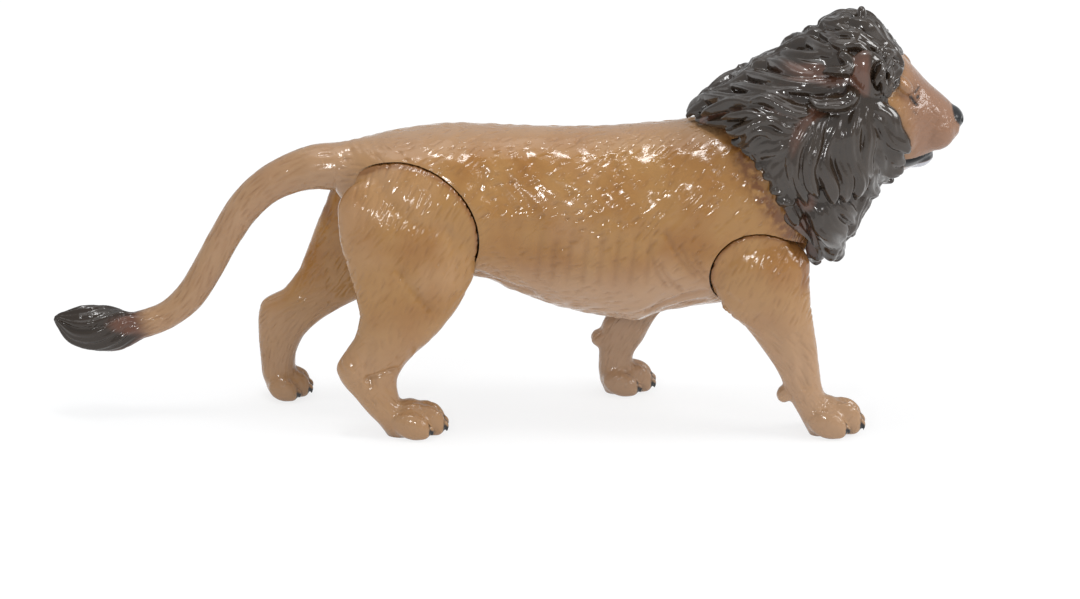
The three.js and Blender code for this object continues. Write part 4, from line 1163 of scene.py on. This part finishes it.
# Distance from the middle plane that the far side's locks keep, and the way they face there
CREST_HALF = 1.6
CREST_OUT = (0, -0.2, 1)
ABOVE_ALL = 200.0

# Nearest-point search along a ray that misses: half its reach, in millimetres and in steps of one
SEARCH_HALF = 60

# Shares of a lock's full width and height, and its lift in millimetres, each by the share of its length
LOCK_WIDTH = curve([(0, 0.6), (0.2, 0.9), (0.5, 1), (0.8, 0.8), (0.93, 0.5), (1, 0.16)])
LOCK_HEIGHT = curve([(0, 0.1), (0.12, 0.6), (0.28, 0.92), (0.6, 1), (0.88, 0.75), (1, 0.2)])
LOCK_LIFT = curve([(0, -1.0), (0.2, -0.2), (0.45, 0.3), (0.8, 1.7), (1, 1.6)])
LOCK_STATIONS, LOCK_ACROSS = 46, 41
LOCK_KEEL, LOCK_SWAY, LOCK_TALL, LOCK_SHINGLE = 3.0, 0.8, 1.05, 0.8
STRAND_WIDE, STRAND_RIDGE, STRAND_DEEP = 3.2, 0.26, 0.14
APART_ALONG, APART_ACROSS = 40, 31
LOCK_SALT, LOCK_LEAST_TALL, LOCK_TALLER = 41, 0.75, 0.5
LOCK_ROUND, STRAND_ROUND, STRAND_WANDER, LOCK_SWELL, KEEL_TAPER = 0.55, 0.8, 0.5, 0.12, 0.8

# Red-brown paint: its share in valleys of a depth and on red locks, and its edge in half widths of the lock
VALLEY_RED, VALLEY_DEPTH = 0.35, (0.3, 0.9)
LOCK_RED, LOCK_RED_EDGE, LOCK_RED_STATIONS = 0.75, (0.55, 1.1), 24


def photo_ray(px, py):
    """Start and direction, in millimetres, of the camera's ray through a pixel of the photograph."""
    up = Vector((0, math.sin(CAMERA_ELEVATION), math.cos(CAMERA_ELEVATION)))
    aim = TARGET + Vector((1, 0, 0)) * ((px - PHOTO_WIDE / 2) / PHOTO_WIDE * FRAME_WIDE)
    aim = aim + up * ((PHOTO_HIGH / 2 - py) / PHOTO_WIDE * FRAME_WIDE)
    return CAMERA_AT / MM + Vector(SET_DOWN), (aim - CAMERA_AT).normalized()


def mane_core_rings():
    places = np.linspace(MANE_TOP[0][0] + CORE_START, MANE_TOP[-1][0], MANE_STATIONS)
    angles = round_turn(MANE_AROUND, 0.5)
    return section_rings(places, angles, MANE_LINES, -CORE_SINK, CORE_LEAST_WIDE, CORE_LEAST_HALF)


def outward(at, normal):
    """A point and its direction, turned away from the mane's middle line."""
    middle = float(MANE_LINES[0](at.x) + MANE_LINES[1](at.x)) / 2
    away = Vector((0, at.y, at.z - middle))
    return at, -normal if away.dot(normal) < 0 else normal


def on_surface(tree, px, py):
    """The point and direction where the camera's ray meets the mane's mass, or the nearest point of it."""
    start, ahead = photo_ray(px, py)
    at, normal, _, _ = tree.ray_cast(start, ahead)
    if at is None:
        far = CAMERA_FAR / MM
        steps = np.linspace(far - SEARCH_HALF, far + SEARCH_HALF, 2 * SEARCH_HALF + 1)
        beside = min([start + ahead * step for step in steps], key=lambda place: tree.find_nearest(place)[3])
        at = tree.find_nearest(beside)[0]
        normal = (beside - at).normalized()
    elif normal.dot(ahead) > 0:
        normal = -normal
    return at, normal


def short_of_crest(tree, at, normal):
    """The same point, kept on its own side of the crest."""
    if at.y > -CREST_HALF and normal.z > 0:
        at = tree.ray_cast(Vector((at.x, -CREST_HALF, ABOVE_ALL)), Vector((0, 0, -1)))[0]
        normal = Vector(CREST_OUT).normalized()
    return at, normal


def lock_frame(points, normals):
    """Path, direction along it, direction out and direction beside it, at each station of a lock."""
    path, ahead = smooth_path(points, LOCK_STATIONS)
    out, _ = smooth_path(normals, LOCK_STATIONS)
    out = out - (out * ahead).sum(axis=1, keepdims=True) * ahead
    out /= np.linalg.norm(out, axis=1, keepdims=True)
    return path, ahead, out, np.cross(ahead, out)


def lock_body(points, normals, half_width, height, number):
    """A tapering, wavy lock with strands along it, standing on the mane's mass."""
    path, _, out, beside = lock_frame(points, normals)
    t = np.linspace(0, 1, LOCK_STATIONS)[:, None]
    share = np.linspace(-1, 1, LOCK_ACROSS)[None, :]
    phase = chance(number, 3, LOCK_SALT) * 2 * math.pi
    tall = LOCK_TALL * height * (LOCK_LEAST_TALL + LOCK_TALLER * chance(number, 5, LOCK_SALT))
    lower = -np.sign(beside[:, 2].mean())
    sway = LOCK_SWAY * np.sin(t * 9 + phase) * LOCK_HEIGHT(t)
    strands = max(1, round(2 * half_width / STRAND_WIDE))
    crown = np.clip(1 - np.abs(share) ** 2, 0, 1) ** LOCK_ROUND
    wander = STRAND_WANDER * np.sin(t * 4 + phase)
    ridge = np.abs(np.sin((share + 1) * strands * math.pi / 2 + wander)) ** STRAND_ROUND
    ridge = 1 - STRAND_RIDGE + STRAND_RIDGE * ridge
    swell = 1 + LOCK_SWELL * np.sin(t * 13 + 2 * phase)
    lift = LOCK_HEIGHT(t) * (tall * swell * crown * ridge + LOCK_SHINGLE * lower * share) + LOCK_LIFT(t)
    width = half_width * LOCK_WIDTH(t)
    top = (path + sway * beside)[:, None, :] + (share * width)[..., None] * beside[:, None, :]
    top = top + lift[..., None] * out[:, None, :]
    keel = LOCK_KEEL * (1 - KEEL_TAPER * t)
    low = top[:, [-1, 0], :] - keel[..., None] * out[:, None, :]
    return loft(np.concatenate([top, low], axis=1))


def one_side_lines(tree):
    """Every lock of one side as (hits, hits for its mirror image, half width, height, is red)."""
    lines = []
    for lock in TRACED_LOCKS:
        width, height, pixels = lock
        hits = [on_surface(tree, px, py) for px, py in pixels]
        short = [short_of_crest(tree, *hit) for hit in hits]
        lines.append((hits, short, width, height, lock in RED_LOCKS))
    for width, height, line in BREAST_LOCKS:
        hits = [outward(*tree.find_nearest(Vector(p))[:2]) for p in line]
        lines.append((hits, hits, width, height, False))
    for width, height, line in EAR_HAIRS:
        hits = [(Vector(p), Vector(EAR_HAIR_OUT)) for p in line]
        lines.append((hits, hits, width, height, False))
    return lines


def lock_lines(tree):
    """Every lock on both sides as (points, normals, half width, height, number, is red)."""
    both = []
    for number, (near, far, width, height, red) in enumerate(one_side_lines(tree)):
        for hits, side, half in ((near, 1.0, 0.0), (far, -1.0, 0.5)):
            points, normals = [np.array([tuple(v) for v in part]) * [1.0, side, 1.0] for part in zip(*hits)]
            both.append((points, normals, width, height, number + half, red))
    return both


def ear_cup(side):
    def body(shape):
        x, y, z = shape["at"]
        return ellipsoid((x, side * y, z), shape["size"], shape["tilt"], around=EAR_AROUND, along=EAR_ALONG)

    return cut(merged("ear", [body(EAR)]), merged("hollow", [body(EAR_HOLLOW)]))


def mane_piece():
    """Core, locks, ears and nib in one skin, cut clear of the torso, the head and the swing of the legs."""
    core = loft(mane_core_rings())
    mass = combined([core, loft(head_rings()), loft(plain_torso_rings(*TORSO_UNDER_LOCKS))])
    lines = lock_lines(BVHTree.FromPolygons(mass[0].tolist(), mass[1]))
    bodies = [lock_body(*line[:5]) for line in lines]
    piece = merged("mane_skin", [core, ellipsoid(NIB_AT, NIB_SIZE), *bodies])
    for side in (-1, 1):
        joined(piece, ear_cup(side))
    remesh(piece, MANE_VOXEL)
    relax_piece(piece, *MANE_RELAX)
    comb_strands(piece, lines)
    cut(piece, torso_form(*TORSO_ROOM))
    for side in (-1, 1):
        hollow(piece, SHOULDER, LEG_SWEEP, side, POCKET_FLOOR - SWEEP_CLEAR)
    cut(piece, solid("head_room", *loft(head_rings(HEAD_CLEAR)[::3, ::2])))
    fewer_faces(piece, MANE_FACES)
    paint_mane(piece, lines)
    return piece


def comb_strands(piece, lines):
    """Fine strands along the nearest lock."""
    frames = [lock_frame(points, normals) for points, normals, *_ in lines]
    paths, aheads, _, sides = [np.concatenate(part) for part in zip(*frames)]
    runs = np.concatenate([run_along(path) for path, *_ in frames])
    numbers = np.repeat([number for *_, number, _ in lines], LOCK_STATIONS)
    tree = KDTree(len(paths))
    for k, point in enumerate(paths):
        tree.insert(point, k)
    tree.balance()
    points, normal = points_of(piece), normals_of(piece)
    near = np.array([tree.find(point)[1] for point in points])
    off = points - paths[near]
    along = runs[near] + (off * aheads[near]).sum(axis=1) + APART_ALONG * numbers[near]
    across = (off * sides[near]).sum(axis=1) + APART_ACROSS * numbers[near]
    strokes = fur_strokes(along, across, MANE_STRANDS)
    set_points(piece, points - normal * (STRAND_DEEP * strokes)[:, None])


def fewer_faces(piece, limit):
    """Thins the skin where it is flat, down to a number of triangles."""
    modified(piece, "TRIANGULATE")
    count = len(piece.data.polygons)
    if count > limit:
        modified(piece, "DECIMATE", ratio=limit / count)


def paint_mane(piece, lines):
    """Red-brown along some locks, in the valleys and on the backs of the ears."""
    points, normal = points_of(piece), normals_of(piece)
    calm = relax(points, edges_of(piece), *VALLEY_RELAX)
    valley = ((calm - points) * normal).sum(axis=1)
    red = VALLEY_RED * rise(*VALLEY_DEPTH, valley)
    inner, outer = LOCK_RED_EDGE
    for line, _, width, _, _, is_red in lines:
        if is_red:
            path, _ = smooth_path(line, LOCK_RED_STATIONS)
            gap = np.min([np.linalg.norm(points - at, axis=1) for at in path], axis=0)
            red = np.maximum(red, LOCK_RED * fall(inner * width, outer * width, gap))
    ex, ey, ez = EAR["at"]
    behind = fall(ex - 1, ex + 1, points[:, 0])
    for side in (-1, 1):
        gap = np.linalg.norm((points - [ex - 1, side * ey, ez]) / EAR_BACK_REACH, axis=1)
        red = np.maximum(red, fall(*EAR_BACK_EDGE, gap) * behind)
    store(piece, "red", np.clip(red, 0, 1))


# Materials

TAN = (0.305, 0.156, 0.048)
OCHRE = (0.258, 0.114, 0.027)
PINKISH = (0.36, 0.205, 0.10)
# Pale dusty paint, which partly stands in for painted sheen and bounce light
DUST_AND_SHEEN = (0.352, 0.22, 0.133)
FACE_PINK = (0.22, 0.116, 0.069)
# Painted shade for grooves, creases and seams
GROOVE_SHADE = (0.20, 0.085, 0.025)
# Red-brown overspray along the mane, also used as painted shade on the face
OVERSPRAY_AND_SHADE = (0.15, 0.058, 0.018)
RED_BROWN = (0.105, 0.046, 0.028)
CHARCOAL, GREY_CHARCOAL = (0.024, 0.0155, 0.0095), (0.034, 0.023, 0.0155)
CHIN_WHITE = (0.42, 0.42, 0.45)
BLACK = (0.008, 0.008, 0.009)
STEEL, DULL_STEEL = (0.55, 0.56, 0.57), (0.42, 0.43, 0.45)
FLOOR_PALE, SKY_PALE, WHITE = (0.94, 0.94, 0.95), (0.94, 0.97, 1.0), (1, 1, 1)

# Paint over the tan plastic, among it painted sheen and painted shade, in the order it is mixed in, by the
# name of its stored share
PAINT_LAYERS = [
    ("dust_and_sheen", DUST_AND_SHEEN), ("pink", FACE_PINK), ("groove_shade", GROOVE_SHADE), ("overspray_and_shade", OVERSPRAY_AND_SHADE), ("red", RED_BROWN),
    ("dark", CHARCOAL), ("pale", CHIN_WHITE), ("black", BLACK),
]
TAN_IOR, MANE_IOR = 1.5, 1.62
FACE_SOFTER = 0.08
SKIN_BUMP, STEEL_BUMP = 0.0003, 0.0002

# Cloudy patches as (scale, limits, colour), and gloss as (scale, range of roughness)
TAN_PATCHES = [(55, (0.42, 0.66), OCHRE), (33, (0.5, 0.75), PINKISH)]
MANE_PATCHES = [(70, (0.4, 0.7), GREY_CHARCOAL)]
TAN_GLOSS, MANE_GLOSS, STEEL_GLOSS = (160, (0.1, 0.18)), (180, (0.1, 0.17)), (900, (0.25, 0.4))

# Fine patterns as (scale, detail, stretch, turn), and the limits between which some of them show
BLOTCHES, BLOTCH_LIMITS = (420, 3.0), (0.32, 0.52)
DASHES, DASH_LIMITS = (560, 1.0, (1, 1, 3.5), math.radians(42)), (0.56, 0.66)
HAIRS = (1100, 2.0, (1, 1, 4.0), math.radians(48))
PORES, GRAIN = (2600, 2.0), (900, 2.0)
SCRATCHES, SCRATCH_LIMITS = (1500, 4.0, (6.0, 1, 6.0)), (0.35, 0.65)


def fill(tree, socket, value):
    """Links an earlier output to a socket, or sets the socket's own value."""
    if isinstance(value, bpy.types.NodeSocket):
        tree.links.new(value, socket)
    else:
        socket.default_value = (*value, 1) if socket.type == "RGBA" else value


def set_up(tree, node, **settings):
    """Fills the named inputs of a node, and sets what isn't an input as a property."""
    for name, value in settings.items():
        socket = node.inputs.get(name.replace("_", " "))
        if socket is None:
            setattr(node, name, value)
        else:
            fill(tree, socket, value)
    return node


def added(tree, kind, **settings):
    return set_up(tree, tree.nodes.new("ShaderNode" + kind), **settings)


def computed(tree, operation, *values):
    """A product, sum or the like of numbers and earlier results."""
    node = added(tree, "Math", operation=operation)
    for socket, value in zip(node.inputs, values):
        fill(tree, socket, value)
    return node.outputs[0]


def blank_material(name):
    material = bpy.data.materials.new(name)
    material.use_nodes = True
    tree = material.node_tree
    return material, tree, tree.nodes["Principled BSDF"]


def noise(tree, scale, detail=3.0, stretch=(1, 1, 1), turn=0.0):
    """A cloud pattern in the object's own frame, stretched along a turned direction if asked."""
    place = added(tree, "TexCoord").outputs["Object"]
    turned = added(tree, "Mapping", vector_type="TEXTURE", Vector=place, Rotation=(0, turn, 0), Scale=stretch)
    return added(tree, "TexNoise", Vector=turned.outputs["Vector"], Scale=scale, Detail=detail).outputs["Fac"]


def ramp(tree, value, low, high, to=(0.0, 1.0)):
    """Spreads a value from between two limits to between two others."""
    limit = added(tree, "MapRange", Value=value, From_Min=low, From_Max=high, To_Min=to[0], To_Max=to[1])
    return limit.outputs["Result"]


def mixed(tree, factor, first, second):
    """A colour between two, which may be plain colours or earlier results."""
    mix = added(tree, "Mix", data_type="RGBA", Factor=factor)
    fill(tree, mix.inputs[6], first)
    fill(tree, mix.inputs[7], second)
    return mix.outputs[2]


def stored(tree, name):
    return added(tree, "Attribute", attribute_name=name).outputs["Fac"]


def patchy(tree, value):
    """A stored value broken up into small blotches."""
    return computed(tree, "MULTIPLY", value, ramp(tree, noise(tree, *BLOTCHES), *BLOTCH_LIMITS))


def fine_bump(tree, sources, distance):
    """Small surface unevenness from several patterns, one after another."""
    normal = None
    for value, strength in sources:
        bump = added(tree, "Bump", Height=value, Strength=strength, Distance=distance)
        if normal is not None:
            fill(tree, bump.inputs["Normal"], normal)
        normal = bump.outputs["Normal"]
    return normal


def uneven_gloss(tree, scale, limits):
    return ramp(tree, noise(tree, scale), 0.3, 0.7, limits)


def patched(tree, colour, patches):
    """A plain colour with clouds of others over it."""
    for scale, limits, other in patches:
        colour = mixed(tree, ramp(tree, noise(tree, scale), *limits), colour, other)
    return colour


def tan_pvc():
    """Tan plastic with cloudy ochre and pinkish patches, painted where the sculpt asks for it, with painted
    shade in grooves, creases and seams and painted sheen in the pale dusty parts.
    """
    material, tree, shader = blank_material("tan_pvc_paint")
    colour = patched(tree, TAN, TAN_PATCHES)
    for name, paint in PAINT_LAYERS:
        share = stored(tree, name)
        colour = mixed(tree, patchy(tree, share) if name == "overspray_and_shade" else share, colour, paint)
    gloss = uneven_gloss(tree, *TAN_GLOSS)
    gloss = computed(tree, "MULTIPLY_ADD", stored(tree, "pink"), FACE_SOFTER, gloss)
    dashes = ramp(tree, noise(tree, *DASHES), *DASH_LIMITS)
    hairs, pores = noise(tree, *HAIRS), noise(tree, *PORES)
    bump = fine_bump(tree, [(dashes, 0.35), (hairs, 0.2), (pores, 0.06)], SKIN_BUMP)
    set_up(tree, shader, Base_Color=colour, Roughness=gloss, IOR=TAN_IOR, Normal=bump)
    return material


def mane_pvc():
    """Charcoal plastic, red-brown where the paint left the valleys bare."""
    material, tree, shader = blank_material("mane_pvc_paint")
    colour = patched(tree, CHARCOAL, MANE_PATCHES)
    colour = mixed(tree, stored(tree, "red"), colour, RED_BROWN)
    gloss = uneven_gloss(tree, *MANE_GLOSS)
    bump = fine_bump(tree, [(noise(tree, *GRAIN), 0.1), (noise(tree, *PORES), 0.05)], SKIN_BUMP)
    set_up(tree, shader, Base_Color=colour, Roughness=gloss, IOR=MANE_IOR, Normal=bump)
    return material


def steel():
    """Turned steel with fine round scratches."""
    material, tree, shader = blank_material("turned_steel")
    scratches = noise(tree, *SCRATCHES)
    colour = mixed(tree, ramp(tree, scratches, *SCRATCH_LIMITS), STEEL, DULL_STEEL)
    gloss = uneven_gloss(tree, *STEEL_GLOSS)
    bump = fine_bump(tree, [(scratches, 0.1)], STEEL_BUMP)
    set_up(tree, shader, Base_Color=colour, Metallic=1.0, Roughness=gloss, Normal=bump)
    return material


# Stage, light and camera

FLOOR_HALF, FLOOR_ROUGH = 4.0, 0.7
FLOOR_WHITE = 0.78
SKY_STRENGTH = 0.62
BODY_AIM, HEAD_AIM = (0.0, 0.0, 0.06), (0.13, 0.0, 0.1)

# Lamps as (name, place, aim, size, power)
LAMPS = [
    ("overhead", (0.0, 0.2, 1.2), BODY_AIM, (1.2, 0.9), 3.6),
    ("spark", (-0.1, -0.05, 1.2), BODY_AIM, (0.3, 0.16), 3.4),
    ("front", (-0.3, -1.15, 0.58), BODY_AIM, (0.13, 0.13), 3.4),
    ("right", (0.8, -0.85, 0.66), HEAD_AIM, (0.25, 0.25), 1.2),
    ("ahead", (1.05, -0.16, 0.8), HEAD_AIM, (0.56, 0.5), 8.5),
]


def white_where_seen(tree, end, plain, white, seen):
    """Shows plain white in place of a shader, by the share that the light path gives."""
    mix = added(tree, "MixShader", Fac=seen)
    fill(tree, mix.inputs[1], plain.outputs[0])
    fill(tree, mix.inputs[2], white.outputs[0])
    fill(tree, tree.nodes[end].inputs["Surface"], mix.outputs[0])


def stage_floor():
    """A pale floor that shows mostly white to the camera but keeps the object's shadow."""
    corners = [(x * FLOOR_HALF, y * FLOOR_HALF, 0) for x, y in ((-1, -1), (1, -1), (1, 1), (-1, 1))]
    floor = new_object("floor", np.array(corners) / MM + SET_DOWN, [[0, 1, 2, 3]])
    material, tree, shader = blank_material("pale_floor")
    set_up(tree, shader, Base_Color=FLOOR_PALE, Roughness=FLOOR_ROUGH)
    white = added(tree, "Emission", Color=WHITE, Strength=1.0)
    path = added(tree, "LightPath").outputs
    seen = computed(tree, "MAXIMUM", path["Is Camera Ray"], path["Is Glossy Ray"])
    white_where_seen(tree, "Material Output", shader, white, computed(tree, "MULTIPLY", seen, FLOOR_WHITE))
    floor.data.materials.append(material)


def world_light():
    """Soft light from all round, behind which the camera sees white."""
    world = bpy.data.worlds.new("studio")
    bpy.context.scene.world = world
    world.use_nodes = True
    tree = world.node_tree
    soft = set_up(tree, tree.nodes["Background"], Color=SKY_PALE, Strength=SKY_STRENGTH)
    white = added(tree, "Background", Color=WHITE, Strength=1.0)
    white_where_seen(tree, "World Output", soft, white, added(tree, "LightPath").outputs["Is Camera Ray"])


def aimed(name, data, at, aim):
    """A lamp or camera that looks at a point."""
    holder = bpy.data.objects.new(name, data)
    holder.location = at
    holder.rotation_euler = (Vector(aim) - Vector(at)).to_track_quat("-Z", "Y").to_euler()
    bpy.context.scene.collection.objects.link(holder)
    return holder


def lamp(name, at, aim, size, power):
    light = bpy.data.lights.new(name, "AREA")
    light.shape = "RECTANGLE"
    light.size, light.size_y = size
    light.energy = power
    aimed(name, light, at, aim)


def camera():
    data = bpy.data.cameras.new("photo_view")
    data.sensor_width = SENSOR
    data.lens = SENSOR * CAMERA_FAR / FRAME_WIDE
    bpy.context.scene.camera = aimed("photo_view", data, CAMERA_AT, TARGET)


# Assembly

def dress(piece, body, slot, material, *nodes):
    piece.data.polygons.foreach_set("use_smooth", np.ones(len(piece.data.polygons), bool))
    piece.data.set_sharp_from_angle(angle=SHARP_ANGLE)
    piece.data.materials.clear()
    piece.data.materials.append(material)
    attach(piece, body)
    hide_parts(*nodes)


def build():
    paint, hair, metal = tan_pvc(), mane_pvc(), steel()
    dress(torso_half("torso_right_skin", -1), "body", "tan_pvc", paint, "torso_right_shell")
    dress(torso_half("torso_left_skin", 1), "body", "tan_pvc", paint, "torso_left_shell")
    dress(tail_piece(), "body", "tan_pvc", paint, "tail")
    for name in LEGS:
        dress(leg_piece(name), name, "tan_pvc", paint, name + "_leg")
        for part in ("_washer", "_screw"):
            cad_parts[name + part].material_slots[0].material = metal
    dress(head_piece(), "body", "face_pvc", paint, "head")
    dress(mane_piece(), "body", "dark_pvc", hair, "mane")


build()
stage_floor()
world_light()
for settings in LAMPS:
    lamp(*settings)
camera()
bpy.context.scene.view_settings.view_transform = "Standard"
